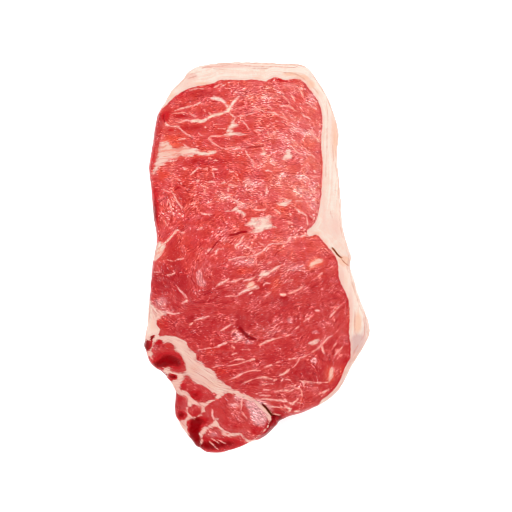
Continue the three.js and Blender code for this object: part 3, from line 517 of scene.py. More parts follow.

# Broad soft patches: centre, reach, and strength. First the lean's lightness and colour, where the pale
# patches are partly a pale film and partly painted sheen, then where its grain stands open in pale granules
# and where it lies in long fine arcs, then the fat's colour.
PATCHES = {
    "dark": [
        ((-28, 81.5), (9, 3), 0.8), ((-39, 70.6), (4.5, 1.6), 1.0), ((-33, 64.5), (9, 2.6), 0.75),
        ((-26, 47.8), (13, 2.2), 0.9), ((-14, 57.6), (8, 2.2), 0.4), ((-17, 73.8), (4, 1), 0.4),
        ((-36, 42), (8, 3), 0.35), ((-38, 29), (4, 5), 0.6), ((-44, 6), (5, 4), 0.4),
        ((-43, -8), (6, 10), 0.6), ((-51, 60), (2.4, 12), 1.2), ((-49, 68), (2, 6), 0.8),
        ((-51.4, 18), (2, 12), 0.9), ((-41, 2), (5, 8), 0.55), ((-50, -12), (5, 8), 0.55),
        ((-38, -12), (5, 5), 0.5), ((-26, -17.5), (12, 1.8), 0.6), ((-24, -22.5), (14, 1.6), 0.6),
        ((0, -31), (10, 6), 0.6), ((-9, -33), (2, 4), 0.7), ((-33.5, -31), (2.4, 1.8), 1.2),
        ((-31, -38), (9, 4), 0.6), ((12, -22), (7, 3), 0.8), ((6, -50), (14, 8), 0.35),
        ((24, -58), (12, 6), 0.6), ((38, -42), (5, 4), 0.5), ((30, -72), (6, 2), 0.5),
        ((8, -62), (10, 5), 0.4), ((-4, -62), (7, 4), 0.5), ((13, 12), (9, 2.5), 0.5),
        ((22, 6), (6, 2), 0.7), ((-6, 10), (6, 1.8), 0.4), ((18, 19), (8, 3), 0.5),
        ((27, 19), (2, 2.4), 0.6), ((31, -12), (9, 6), 0.4), ((-4, 84), (6, 2), 0.35),
        # The dark patch at (9, -84) is painted shade on the tail's right side.
        ((-23, -89), (6, 3), 0.6), ((-39, -74), (3.4, 7), 0.9), ((9, -84), (5, 8), 1.6),
        ((31, -62), (10, 6), 0.4), ((-50, -47), (3, 4), 0.4), ((-18, -31), (10, 4), 0.2),
        ((14, -44), (8, 4), 0.25), ((-2, 57.6), (8, 1.6), 0.4), ((12, 78), (2.4, 1.6), 0.3),
    ],
    "warm": [
        ((-42, 58.4), (5, 3), 1.2), ((-47, 41.6), (4, 4), 0.9), ((-49.2, 73), (2, 3), 0.8),
        ((-10, 87), (12, 1.8), 0.5), ((20, 78), (4, 4), 0.5), ((-14.5, 77), (1.6, 1.4), 0.8),
        ((-8, 77.4), (4, 2), 0.5), ((12, 24.4), (4, 2.4), 0.8), ((-6.4, -7), (4.5, 2.2), 1.0),
        ((9.5, -14), (4, 5), 0.8), ((-1, -14.6), (4, 3), 0.6), ((-16, -46.6), (9, 2.2), 0.5),
        ((-19, -57), (5, 2.4), 0.8), ((-12, -62), (4, 2), 0.5), ((-48, -33), (4, 4), 0.7),
        ((45.6, -30), (1.4, 9), 0.7), ((-11, 40), (5, 3), 0.4), ((-12, 31.5), (3, 2), 0.7),
        ((2, 46), (8, 3), 0.4), ((16, 46.6), (6, 2), 0.4), ((38, -31), (3, 2), 0.5),
        ((42.4, -57), (1.6, 4), 0.9), ((22, -71), (1.4, 4), 0.7), ((5, -73), (4, 1.6), 0.7),
        ((10, -76.4), (6, 2), 0.6), ((-45, -44.4), (3, 1.6), 0.7), ((-34, -61.6), (3, 2), 0.5),
        ((31, -9.6), (6, 1.4), 0.5), ((22, -12), (7, 3), 0.3), ((-26, 54.3), (3, 1.6), 0.6),
        ((28, 10), (2.4, 1.4), 0.9), ((-24, -47), (4, 6), 0.4), ((-36, 66.6), (4, 0.8), 0.6),
        ((27, 56), (4, 2), 0.5), ((32, 46), (1, 12), 0.6),
    ],
    "pale": [
        ((-29, -9.6), (1.5, 3), 1.5), ((-27.6, -13), (1.8, 1.4), 1.5), ((18.5, 63.8), (3.4, 1.6), 0.9),
        ((23.8, 61.8), (3.4, 1.8), 0.75), ((28, 60), (2, 3.4), 0.45), ((12, 40.8), (4.4, 1.4), 0.7),
        ((21.5, 40.2), (4, 1.5), 0.7), ((25.6, 38.4), (4, 2), 0.4), ((-3.5, 36.8), (4, 3.4), 0.6),
        ((-5.5, 38.6), (2, 2), 0.4), ((-7.4, 25.8), (3, 2.2), 0.8), ((-15.6, 29.6), (2.8, 2.4), 0.6),
        ((-18.4, 31), (2, 2), 0.4), ((25, 31), (5, 4), 0.5), ((19, 33), (3, 3), 0.5),
        ((26, 75), (7, 8), 0.15), ((27, 80.4), (2.6, 2.8), 0.6), ((16, 85.6), (7, 1.8), 0.5),
        ((-9, 82.4), (5, 3), 0.4), ((7, 80.6), (6, 3.4), 0.4), ((-17, 13.4), (4, 2.6), 0.45),
        ((-16.4, 8.6), (2.6, 2), 0.55), ((-24, 3.2), (2.4, 1.4), 0.6), ((-9, -2.4), (7, 2.6), 0.6),
        ((-2.6, -2), (3, 2.4), 0.5), ((18, -5), (7, 4), 0.45), ((-24, -4), (4, 3), 0.4),
        ((-9, -40), (2.4, 1.4), 0.9), ((-4.6, -42.6), (3, 1.1), 0.9), ((-12, -42.6), (4, 1.6), 0.3),
        ((-12, -37.8), (4, 1.4), 0.5), ((16, -31.6), (1.7, 1.8), 0.9), ((6, -38), (3.4, 2), 0.4),
        ((-48, -22.6), (4.4, 3), 0.8), ((-44, -27), (5, 1.6), 0.5), ((1.6, -77.4), (4.6, 4.6), 1.9),
        ((-3, -73.6), (3, 2.6), 1.0), ((-9, -70), (3.4, 2.2), 0.8), ((-12, -74), (3.4, 1.2), 0.7),
        ((-22, -88.6), (4, 2), 0.5), ((-50, -46), (3, 3), 0.35), ((28.4, -51.8), (1.5, 1.5), 1.5),
        ((29, -37.5), (1.8, 0.9), 1.2), ((3, -52.4), (2, 2), 0.5), ((-42, 24), (4, 7), 0.1),
        ((3, 36), (3, 3), 0.3), ((-30, 30), (6, 8), 0.2), ((10, 7), (5, 2), 0.3), ((2, -83), (4, 3), 0.5),
        ((-36, -60.4), (2, 2), 0.3), ((-46, 38.6), (5, 2), 0.3), ((-37, -71), (1.6, 3), 0.3),
        ((16, -66), (5, 3), 0.2), ((14, 54), (8, 4), 0.25), ((26, 48), (6, 6), 0.3),
    ],
    "crimson": [
        ((-44.2, -51), (5.6, 3.6), 1.0), ((-39.4, -53.6), (2.6, 2.8), 0.6), ((-49, -53.4), (4.5, 2), 0.9),
        ((-56, -44), (3.4, 4), 1.2), ((-52.6, -40), (2, 1.6), 0.9), ((-49, -42.8), (1.6, 1.2), 0.7),
        ((-42, -60), (3, 1.8), 0.9), ((-46, -58), (2, 2), 0.9), ((-31, -69), (3.4, 2.6), 0.75),
        ((-37, -64.4), (1.6, 2.4), 0.5), ((-31.4, -87), (3.4, 8), 1.3), ((-28, -82), (4, 2), 0.6),
        ((-24, -94), (7, 3), 1.0), ((-13, -93), (7, 2.6), 0.7), ((-38, -79), (2.4, 2), 0.9),
        ((-39, -71.4), (2.4, 2), 0.5), ((-11, -83.5), (7, 3), 0.3), ((-1, -86.6), (3, 3), 0.5),
        # The crimson patches at (10, -81) and (8, -87) are painted shade on the tail's right side.
        ((-16, -80), (5, 4), 0.12), ((10, -81), (4, 3), 1.0), ((8, -87), (4.6, 4.4), 1.2),
        ((-46.2, 70.6), (2.4, 3), 0.6), ((-43.5, 63.5), (2.4, 1), 0.4), ((-39, 70.4), (3.6, 1), 0.45),
        ((-23, 85.6), (3, 1.5), 0.35), ((-38, 80.2), (3.4, 2), 0.35), ((17, 87.6), (5, 1.2), 0.35),
        ((11.6, 88.5), (3, 0.9), 0.5), ((-8, 88.4), (13, 1), 0.3), ((-51.4, 22), (2, 13), 0.9),
        ((-39.6, 34.7), (1, 0.8), 0.7), ((-41, -31), (2, 1), 0.3), ((-52.2, 52), (1.2, 9), 0.4),
        ((12, -73.6), (2.4, 0.8), 0.4), ((19, -75.4), (3, 1.4), 0.35), ((44, -52), (2, 3), 0.3),
    ],
    "grain": [
        ((24, 68), (10, 18), 0.25), ((25, 37), (7, 6), 0.8), ((12, 38), (6, 5), 0.6),
        ((-5, 32), (9, 9), 0.7), ((16, -6), (9, 4), 0.9), ((-8, -3), (10, 3), 0.7), ((-5, 6), (7, 5), 0.5),
        ((-42, 24), (6, 9), 0.9), ((-38, 39), (7, 4), 0.3), ((-8, 82), (8, 5), 0.6),
        ((6, 78), (8, 8), 0.6), ((8, 56), (14, 7), 0.5), ((6, -37), (7, 4), 0.6), ((16, -30), (6, 4), 0.5),
        ((-33, -33), (6, 4), 0.3), ((-8, -40), (6, 3), 1.0), ((20, -64), (5, 3), 0.5),
        ((-48, -26), (5, 6), 0.7), ((-26, 29), (10, 10), 0.4), ((30, 26), (5, 6), 0.6),
        ((18, 12), (8, 3), 0.5), ((0, -80), (8, 6), 0.2), ((-46, -8), (6, 10), 0.4),
        ((-12, -75), (8, 4), 0.15), ((-18, 14), (6, 6), 0.4),
    ],
    "arcs": [
        ((-4, -57), (16, 9), 1.0), ((10, -66), (12, 6), 0.8), ((-22, -42), (10, 8), 0.4),
        ((36, -46), (8, 10), 0.5), ((24, -54), (10, 6), 0.5), ((4, -18), (24, 6), 0.4),
        ((-28, 2), (8, 14), 0.5), ((-14, -30), (16, 5), 0.4), ((-12, -82), (10, 6), 0.6),
        ((-30, 74), (12, 6), 0.4),
    ],
    "blush": [
        ((37, 15), (5, 10), 0.5), ((-44, 51), (9, 7), 1.2), ((44, 4), (4, 12), 0.4),
        ((46.6, -24), (4, 14), 0.5), ((38, -66), (8, 8), 0.5), ((-34, -62), (9, 6), 0.7),
        ((-10, 95.6), (20, 1.4), 0.6), ((-36, 86), (8, 4), 0.6), ((-50, -30), (6, 10), 0.8),
        ((-33, 90.4), (3, 1.6), 1.1), ((-18, 95.4), (8, 1), 0.6), ((-46, 51), (6, 6), 0.9),
        ((-36, 52.6), (6, 2), 0.3), ((33, 30), (1.6, 20), 0.5), ((48, -50), (4, 5), 0.8),
        ((-30, -82), (8, 12), 0.8), ((-16, -86), (14, 6), 0.7), ((-36, -72), (8, 8), 0.7),
        ((-54, -52), (6, 10), 0.8), ((-4, -94), (10, 4), 0.7), ((35, 60), (1.8, 24), 0.3),
        ((-41, -43), (7, 4), 0.5), ((42, -12), (1.6, 8), 0.8), ((27, 12.6), (2.6, 2), 0.6),
        ((46.6, -28), (0.9, 12), 0.5), ((38, -67), (7, 4), 0.7), ((-40, -64), (3, 4), 0.7),
        ((38, 66), (2, 12), 0.4), ((40, 16), (3, 8), 0.3),
    ],
    "silver": [
        ((50, -43.4), (4, 5), 1.4), ((46, -52), (2.4, 4), 0.6), ((43, -60), (2, 5), 0.8),
        ((37, -69.4), (5, 2), 0.9), ((-8.5, -69.6), (4, 2), 0.9), ((54, -33), (2, 9), 0.5),
        ((-38, -75), (3, 5), 0.5), ((-27.6, -87.6), (1.6, 1.4), 0.9), ((45, 4), (1.4, 6), 0.4),
        ((26.6, 90), (2, 4), 0.4),
    ],
    "stain": [
        ((-43, 53), (8, 4), 0.9), ((16, 91.5), (4, 1.1), 0.9), ((22, 89.6), (3.4, 1.5), 1.2),
        ((26.4, 86.2), (2.4, 2.2), 1.1), ((30, 82), (1.6, 2.4), 0.6), ((38.6, 60), (2, 16), 0.8),
        ((50, -33), (2.2, 5.5), 1.2), ((45.8, -30), (0.9, 10), 0.9), ((43, -2), (1.6, 2.4), 1.2),
        ((29.6, 11.6), (2.4, 1.2), 1.0), ((34, 7.6), (2, 2), 0.6), ((44.4, -12), (1.6, 8), 0.5),
        ((-44, 81), (5, 3), 0.7), ((-27, 86.6), (7, 1.2), 0.8), ((0, 89.6), (4, 1), 0.6),
        ((-42.6, 58.4), (4.4, 2.6), 1.3), ((-38, 36), (3, 10), 0.2), ((-24, -97), (10, 2), 0.9),
        ((-32, -56), (3, 3), 0.9), ((-23, -64), (7, 2.4), 0.7), ((-41, -64), (2, 3), 0.7),
        ((-56, -50), (2, 3), 1.0), ((-22, -82), (2, 3), 0.5), ((-3, -14), (2, 2), 1.0),
        ((29.4, -2.8), (4, 2.4), 1.4), ((44.2, -2), (3, 1.5), 2), ((11, 25.6), (3, 2), 0.6),
        ((-13, 65), (2, 2), 0.4), ((-14, 61.6), (2, 1), 0.4), ((-52, -34), (3, 4), 0.6),
        ((-49, 3), (3, 4), 0.6), ((-48, 75), (2, 2), 1.2), ((36, -59), (3, 4), 1.0),
        ((26, -6), (3, 2), 0.6), ((-30, 50), (6, 1), 0.4), ((38, 0), (2, 4), 0.5),
    ],
}


def smooth_curve(knots, closed=False, step=0.7):
    """Points about a step apart on the Catmull-Rom curve through the knots, in mm."""
    knots = np.array(knots, float)
    if closed:
        line = np.concatenate([knots[-1:], knots, knots[:2]])
    else:
        line = np.concatenate([2 * knots[:1] - knots[1:2], knots, 2 * knots[-1:] - knots[-2:-1]])
    pieces = []
    for before, start, end, after in zip(line, line[1:], line[2:], line[3:]):
        count = max(1, round(float(np.hypot(*(end - start))) / step))
        t = (np.arange(count) / count)[:, None]
        pieces.append(0.5 * (
            2 * start + (end - before) * t + (2 * before - 5 * start + 4 * end - after) * t**2
            + (3 * start - before - 3 * end + after) * t**3
        ))
    pieces.append(knots[:1] if closed else knots[-1:])
    return np.concatenate(pieces)


def nearest_on(spots, path, reach):
    """How far each spot is from a path, at most reach, and how far along it the nearest place is (0 to 1)."""
    distance = np.full(len(spots), float(reach))
    along = np.zeros(len(spots))
    close = np.flatnonzero(np.all((spots > path.min(0) - reach) & (spots < path.max(0) + reach), axis=1))
    start, edge = path[:-1], np.diff(path, axis=0)
    for part in np.array_split(close, 1 + len(close) // 4000):
        offset = spots[part, None] - start
        share = np.clip((offset * edge).sum(2) / (edge**2).sum(1), 0, 1)
        gap = np.linalg.norm(offset - share[..., None] * edge, axis=2)
        best = gap.argmin(1)
        rows = np.arange(len(part))
        distance[part] = np.minimum(gap[rows, best], reach)
        along[part] = (best + share[rows, best]) / len(edge)
    return distance, along


def is_inside(spots, loop):
    """Whether each spot lies within a closed path."""
    inside = np.zeros(len(spots), bool)
    for (ax, ay), (bx, by) in zip(loop, loop[1:]):
        crosses = (ay > spots[:, 1]) != (by > spots[:, 1])
        if crosses.any():
            inside[crosses] ^= spots[crosses, 0] < ax + (spots[crosses, 1] - ay) / (by - ay) * (bx - ax)
    return inside


def depth_inside(spots, knots, reach):
    """How deep each spot lies inside a smooth closed outline, in mm: negative outside it."""
    loop = smooth_curve(knots, closed=True)
    distance, _ = nearest_on(spots, loop, reach)
    return np.where(is_inside(spots, loop), distance, -distance)


def patch_strength(spots, patches):
    """The sum of soft round patches at each spot, at most one and a half."""
    summed = np.zeros(len(spots))
    for centre, reach, strength in patches:
        summed += strength * np.exp(-(((spots - centre) / reach) ** 2).sum(1))
    return np.clip(summed, 0, 1.5)


def fat_depth(spots):
    """How deep each spot lies in the cap, and in any broad fat, in mm: negative in the lean."""
    cap = -depth_inside(spots, EYE_EDGE, 14)
    fat = cap
    for knots in TAIL_LEAN.values():
        fat = np.minimum(fat, -depth_inside(spots, knots, 14))
    for knots in FAT_ISLANDS:
        fat = np.maximum(fat, depth_inside(spots, knots, 4))
    return cap, fat


def line_depth(spots, lines):
    """How deep each spot lies in one of the thin lines, in mm: negative outside them."""
    depth = np.full(len(spots), -4.0)
    for half_width, knots in lines:
        distance, along = nearest_on(spots, smooth_curve(knots), 4)
        taper = 0.4 + 0.6 * np.sqrt(np.clip(4 * along * (1 - along), 0, 1))
        depth = np.maximum(depth, half_width * taper - distance)
    return depth


def tear_depth(spots):
    """How deep the tears are at each spot, in mm, and how far into a tear's painted shade it lies (0 to 1.5).
    """
    depth = np.zeros(len(spots))
    darkness = np.zeros(len(spots))
    for half_width, deepest, knots in TEARS:
        distance, along = nearest_on(spots, smooth_curve(knots), 5)
        opening = np.sqrt(np.clip(1 - (2 * along - 1) ** 4, 0, 1))
        profile = np.exp(-((distance / half_width) ** 2)) * opening
        depth = np.maximum(depth, deepest * profile)
        darkness = np.maximum(darkness, profile * min(1.5, deepest / 0.3))
    return depth, darkness


def fibre_coordinate(spots):
    """A length in mm that grows across the fibres and hardly changes along them.

    The guides give the fibres' direction everywhere, and the length is the function whose slope comes
    closest to that direction. A Fourier transform of the mirrored field solves it. Each round lets the
    slope stretch where the fibres fan out, and leaves it free in the fat, where there are none.
    """
    cell = FIBRE_CELL
    xs = np.arange(-66, 66, cell)
    ys = np.arange(-106, 106, cell)
    grid = np.stack(np.meshgrid(xs, ys), axis=-1).reshape(-1, 2)
    double = np.zeros((len(grid), 2))
    for place, degrees in FIBRE_GUIDES:
        weight = 1 / (((grid - place) ** 2).sum(1) + 20) ** 1.6
        angle = math.radians(2 * degrees)
        double += weight[:, None] * (math.cos(angle), math.sin(angle))
    angle = np.arctan2(double[:, 1], double[:, 0]) / 2
    across = np.stack([-np.sin(angle), np.cos(angle)], axis=1)
    axis = smooth_curve(FOLD_AXIS)
    distance, along = nearest_on(grid, axis, 400)
    foot = axis[np.rint(along * (len(axis) - 1)).astype(int)]
    across *= np.where(((grid - foot) * across).sum(1) < 0, -1.0, 1.0)[:, None]
    across = across.reshape(len(ys), len(xs), 2)
    free = (fat_depth(grid)[1] > 0).reshape(len(ys), len(xs), 1)

    ky = np.cos(math.pi * np.fft.fftfreq(len(ys) * 2) * 2)[:, None]
    kx = np.cos(math.pi * np.fft.fftfreq(len(xs) * 2) * 2)[None]
    stiffness = (2 * ky + 2 * kx - 4) / cell
    stiffness[0, 0] = 1
    wanted = across
    for _ in range(FIBRE_ROUNDS):
        over, up = wanted[..., 0], wanted[..., 1]
        over = np.block([[over, -over[:, ::-1]], [over[::-1], -over[::-1, ::-1]]])
        up = np.block([[up, up[:, ::-1]], [-up[::-1], -up[::-1, ::-1]]])
        source = (np.roll(over, -1, 1) - np.roll(over, 1, 1) + np.roll(up, -1, 0) - np.roll(up, 1, 0)) / 2
        wave = np.fft.fft2(source) / stiffness
        wave[0, 0] = 0
        level = np.fft.ifft2(wave).real[:len(ys), :len(xs)]
        slope = np.stack(np.gradient(level, cell)[::-1], axis=-1)
        stretch = np.clip((slope * across).sum(-1, keepdims=True), 0.7, 1.4)
        wanted = np.where(free, slope, across * stretch)
    column = np.clip((spots[:, 0] - xs[0]) / cell, 0, len(xs) - 1.001)
    row = np.clip((spots[:, 1] - ys[0]) / cell, 0, len(ys) - 1.001)
    i, j = row.astype(int), column.astype(int)
    rise, run = row - i, column - j
    return (
        level[i, j] * (1 - rise) * (1 - run) + level[i, j + 1] * (1 - rise) * run
        + level[i + 1, j] * rise * (1 - run) + level[i + 1, j + 1] * rise * run
    )


def plain_mesh(holder, name):
    """The mesh of an object as its modifiers leave it."""
    bpy.context.view_layer.update()
    evaluated = holder.evaluated_get(bpy.context.evaluated_depsgraph_get())
    mesh = bpy.data.meshes.new_from_object(evaluated)
    mesh.name = name
    return mesh


def split_faces(mesh, chosen):
    """Splits the chosen faces into four."""
    form = bmesh.new()
    form.from_mesh(mesh)
    form.faces.ensure_lookup_table()
    edges = {edge for index in chosen for edge in form.faces[index].edges}
    bmesh.ops.subdivide_edges(form, edges=list(edges), cuts=1, use_grid_fill=True)
    form.to_mesh(mesh)
    form.free()


def face_facts(mesh):
    """Where the middle of each face is in the tables, and whether it is on the upper face."""
    count = len(mesh.polygons)
    middles, normals = np.empty(count * 3), np.empty(count * 3)
    mesh.polygons.foreach_get("center", middles)
    mesh.polygons.foreach_get("normal", normals)
    middles = middles.reshape(-1, 3)
    return middles[:, :2] / MM * NEARNESS, (middles[:, 2] > UPPER_FACE) & (normals[2::3] > 0.25)


def grow_slab():
    """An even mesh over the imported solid, with its facets smoothed away, finest along the marbling."""
    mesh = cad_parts["steak"].data.copy()
    form = bmesh.new()
    form.from_mesh(mesh)
    bmesh.ops.remove_doubles(form, verts=form.verts, dist=0.002 * MM)
    form.to_mesh(mesh)
    form.free()
    slab = link_object("slab", mesh)
    remesh = slab.modifiers.new("remesh", "REMESH")
    remesh.mode = "VOXEL"
    remesh.voxel_size = MESH_STEP
    smooth = slab.modifiers.new("smooth", "SMOOTH")
    smooth.factor = 0.5
    smooth.iterations = FACET_SMOOTHING
    slab.data = plain_mesh(slab, "steak_flesh")
    slab.modifiers.remove(remesh)
    _, upper = face_facts(slab.data)
    split_faces(slab.data, np.flatnonzero(upper))
    middles, upper = face_facts(slab.data)
    lined = line_depth(middles, FAT_SEAMS) > -LINE_REACH
    lined |= tear_depth(middles)[1] > 0.1
    split_faces(slab.data, np.flatnonzero(upper & lined))
    smooth.iterations = 2
    dense = plain_mesh(slab, "steak_flesh")
    bpy.data.objects.remove(slab)
    return dense


def store(mesh, name, values):
    """Keeps one number for each vertex."""
    mesh.attributes.new(name, "FLOAT", "POINT").data.foreach_set("value", values.astype(np.float32))


def map_anatomy(mesh):
    """Works out the steak's anatomy at each vertex and keeps it on the mesh."""
    count = len(mesh.vertices)
    places, normals = np.empty(count * 3), np.empty(count * 3)
    mesh.vertices.foreach_get("co", places)
    mesh.vertices.foreach_get("normal", normals)
    places = places.reshape(-1, 3) / MM
    below = np.clip((UPPER_LEVEL - places[:, 2:]) / UPPER_LEVEL, 0, 1)
    waver = np.sin(places[:, 1::-1] * 0.11 + places[:, 2:] * 0.2)
    flat = places[:, :2] * NEARNESS
    spots = flat + below * (np.array(DEPTH_DRIFT) + 1.2 * waver)
    tear, torn = tear_depth(flat)
    cap, fat = fat_depth(spots)
    store(mesh, "cap", cap)
    store(mesh, "fat", fat)
    store(mesh, "seam", line_depth(spots, FAT_SEAMS))
    store(mesh, "vein", line_depth(spots, FAT_LINES))
    store(mesh, "fibre", fibre_coordinate(spots))
    store(mesh, "tear", tear * np.clip((places[:, 2] - 14) / 3, 0, 1))
    store(mesh, "torn", torn * np.clip((places[:, 2] - 4) / 4, 0, 1))
    # How steeply the surface turns to the side. The colour paints shade on the steep sides by it.
    store(mesh, "wall", np.clip(1.15 - 1.5 * np.abs(normals[2::3]), 0, 1))
    for name, patches in PATCHES.items():
        store(mesh, name, patch_strength(spots, patches))


def tree_of(*values):
    """The node tree that the first socket among the values belongs to."""
    return next(value.id_data for value in values if isinstance(value, bpy.types.NodeSocket))


def calc(operation, *values, clamp=False):
    """The result socket of one Math node."""
    inputs = {index: value for index, value in enumerate(values)}
    node = add_node(tree_of(*values), "ShaderNodeMath", inputs, operation=operation, use_clamp=clamp)
    return node.outputs[0]


def between(value, low, high, out_low=0.0, out_high=1.0):
    """Eases a value from out_low at low to out_high at high."""
    return add_node(tree_of(value), "ShaderNodeMapRange", {
        "Value": value, "From Min": low, "From Max": high, "To Min": out_low, "To Max": out_high,
    }, interpolation_type="SMOOTHSTEP").outputs["Result"]


def total(*terms):
    """The sum of several values."""
    result = terms[0]
    for term in terms[1:]:
        result = calc("ADD", result, term)
    return result


def times(*factors):
    """The product of several values."""
    result = factors[0]
    for factor in factors[1:]:
        result = calc("MULTIPLY", result, factor)
    return result


def swing(noise, amount):
    """A noise as a change to both sides of zero."""
    return calc("MULTIPLY", calc("SUBTRACT", noise, 0.5), amount)


def scaled(vector, factor):
    """A vector or a colour multiplied by one value."""
    inputs = {0: vector, "Scale": factor}
    return add_node(tree_of(vector), "ShaderNodeVectorMath", inputs, operation="SCALE").outputs[0]


def joined(x, y, z):
    """Three values as one vector."""
    return add_node(tree_of(x), "ShaderNodeCombineXYZ", {0: x, 1: y, 2: z}).outputs[0]


def parted(vector):
    """A vector's three values."""
    return add_node(tree_of(vector), "ShaderNodeSeparateXYZ", {0: vector}).outputs[:]


def new_group(name, kind, inputs, outputs):
    """An empty node group with its sockets, and its input and output nodes."""
    tree = bpy.data.node_groups.new(name, kind)
    for direction, sockets in (("INPUT", inputs), ("OUTPUT", outputs)):
        for label, socket_type, default in sockets:
            socket = tree.interface.new_socket(label, in_out=direction, socket_type=socket_type)
            if default is not None:
                socket.default_value = default
    return tree, tree.nodes.new("NodeGroupInput").outputs, tree.nodes.new("NodeGroupOutput").inputs


def make_relief_tree(material):
    """The steak's fine relief, pushed out of or into the slab along its own surface."""
    number = "NodeSocketFloat"
    tree, given, result = new_group("Flesh relief", "GeometryNodeTree", [
        ("Geometry", "NodeSocketGeometry", None), ("Bundle Width", number, 3.0),
        ("Bundle Length", number, 14.0), ("Bundle Depth", number, 0.22), ("Lump Size", number, 7.0),
        ("Lump Depth", number, 0.3), ("Side Ridge Depth", number, 0.5), ("Swell", number, 0.7),
        ("Seed", "NodeSocketInt", 0),
    ], [("Geometry", "NodeSocketGeometry", None)])

    def stored(name):
        return add_node(tree, "GeometryNodeInputNamedAttribute", {"Name": name}, data_type="FLOAT").outputs[0]

    def waves(place, detail, depth):
        """A noise that reaches about the depth to both sides."""
        noise = add_node(tree, "ShaderNodeTexNoise", {
            "Vector": place, "W": given["Seed"], "Scale": 1.0, "Detail": detail, "Roughness": 0.5,
        }, noise_dimensions="4D")
        return times(swing(noise.outputs[0], 2.0), depth)

    place = scaled(add_node(tree, "GeometryNodeInputPosition").outputs[0], 1 / MM)
    x, y, z = parted(place)
    normal = add_node(tree, "GeometryNodeInputNormal").outputs[0]
    upright = calc("ABSOLUTE", parted(normal)[2])
    fat = stored("fat")
    along_fibres = joined(
        calc("DIVIDE", stored("fibre"), given["Bundle Width"]), calc("DIVIDE", x, given["Bundle Length"]),
        calc("DIVIDE", y, given["Bundle Length"]),
    )
    bundles = times(waves(along_fibres, 2.0, given["Bundle Depth"]), between(fat, -0.6, 0.8, 1.0, 0.0))
    lump_place = scaled(place, calc("DIVIDE", 1.0, given["Lump Size"]))
    lumps = waves(lump_place, 3.0, given["Lump Depth"])
    ridge_place = joined(calc("DIVIDE", x, 4.0), calc("DIVIDE", y, 4.0), calc("DIVIDE", z, 14.0))
    ridges = times(waves(ridge_place, 2.0, given["Side Ridge Depth"]), between(upright, 0.75, 0.3))
    in_tail = times(between(stored("cap"), 0.3, 1.5), between(y, -38.0, -46.0))
    swell = times(between(fat, 0.6, -3.0), in_tail, given["Swell"])
    push = calc("SUBTRACT", total(bundles, lumps, ridges, swell), stored("tear"))
    above_floor = between(z, 0.3, 2.5)
    moved = add_node(tree, "GeometryNodeSetPosition", {
        "Geometry": given["Geometry"], "Offset": scaled(normal, times(push, above_floor, MM)),
    }).outputs[0]
    smooth = add_node(tree, "GeometryNodeSetShadeSmooth", {"Geometry": moved}).outputs[0]
    whole = add_node(tree, "GeometryNodeRealizeInstances", {"Geometry": smooth}).outputs[0]
    dressed = add_node(tree, "GeometryNodeSetMaterial", {"Geometry": whole, "Material": material}).outputs[0]
    tree.links.new(dressed, result[0])
    return tree


def make_streak_group():
    """Noise drawn out along the fibres: bands one pitch wide and one length long."""
    number = "NodeSocketFloat"
    tree, given, result = new_group("Fibre streaks", "ShaderNodeTree", [
        ("Fibre", number, 0.0), ("Position", "NodeSocketVector", None), ("Pitch", number, 1.0),
        ("Length", number, 6.0), ("Detail", number, 2.0), ("Seed", number, 0.0),
    ], [("Value", number, None)])
    x, y, z = parted(given["Position"])
    vector = joined(
        calc("DIVIDE", given["Fibre"], given["Pitch"]),
        calc("DIVIDE", total(x, times(z, 0.3)), given["Length"]),
        calc("DIVIDE", y, given["Length"]),
    )
    noise = add_node(tree, "ShaderNodeTexNoise", {
        "Vector": vector, "W": given["Seed"], "Scale": 1.0, "Detail": given["Detail"], "Roughness": 0.55,
    }, noise_dimensions="4D")
    tree.links.new(noise.outputs[0], result["Value"])
    return tree


# The lean's colour at each lightness, from its darkest red, in dark patches and painted shade, to its palest,
# in threads of gristle, painted glints and painted sheen.
LEAN_COLOURS = [
    (0.0, srgb(136, 0, 8)), (0.1, srgb(178, 18, 28)), (0.2, srgb(198, 42, 47)), (0.3, srgb(211, 66, 65)),
    (0.4, srgb(221, 90, 87)), (0.5, srgb(229, 113, 108)), (0.6, srgb(237, 138, 131)),
    (0.75, srgb(246, 172, 165)), (1.0, srgb(250, 204, 199)),
]
VIVID = srgb(200, 20, 30)       # where blood stands on the lean, and
CRIMSON = srgb(146, 0, 8)       # where it stands deep
EDGE_SHADE_RED = srgb(176, 22, 34)    # the lean's dark edge along the cap, partly painted shade under the cap's edge
HALO = srgb(246, 104, 78)       # the lean beside fat that shines through it
SHEEN_LAVENDER = srgb(244, 190, 194)  # painted sheen on the lean, over its pale film
TEAR_SHADE_RED = srgb(168, 2, 20)         # painted shade inside a tear of the lean, and
CLEFT_SHADE_BROWN = srgb(190, 100, 56)      # inside a parting of the fat
CREAM = srgb(244, 226, 213)     # the fat, from its palest layers
PEACH = srgb(243, 209, 193)
BLUSH = srgb(240, 190, 176)
STAIN = srgb(243, 188, 158)
SILVER = srgb(214, 170, 166)
SKIN_AND_SHADE = srgb(214, 164, 146)      # the cap's steep outer side: its dried skin, and painted shade
VEIN = srgb(220, 150, 134)
THIN_SEAM = srgb(242, 166, 158)
# What a colour is multiplied by.
WARM_TINT = (1.0, 0.86, 0.58, 1)
ORANGE_TINT = (1.0, 0.95, 0.78, 1)
GRANULE_TINT = (1.0, 1.0, 1.14, 1)
OLD_SEAM_TINT = (1.0, 0.92, 0.84, 1)
# painted shade, deep in a tear and down the tail's side
DEEP_SHADE_TINT = (0.5, 0.5, 0.5, 1)


def blend(factor, first, second):
    """The result socket of one colour mix."""
    inputs = {0: factor, 6: first, 7: second}
    return add_node(tree_of(factor), "ShaderNodeMix", inputs, data_type="RGBA").outputs[2]


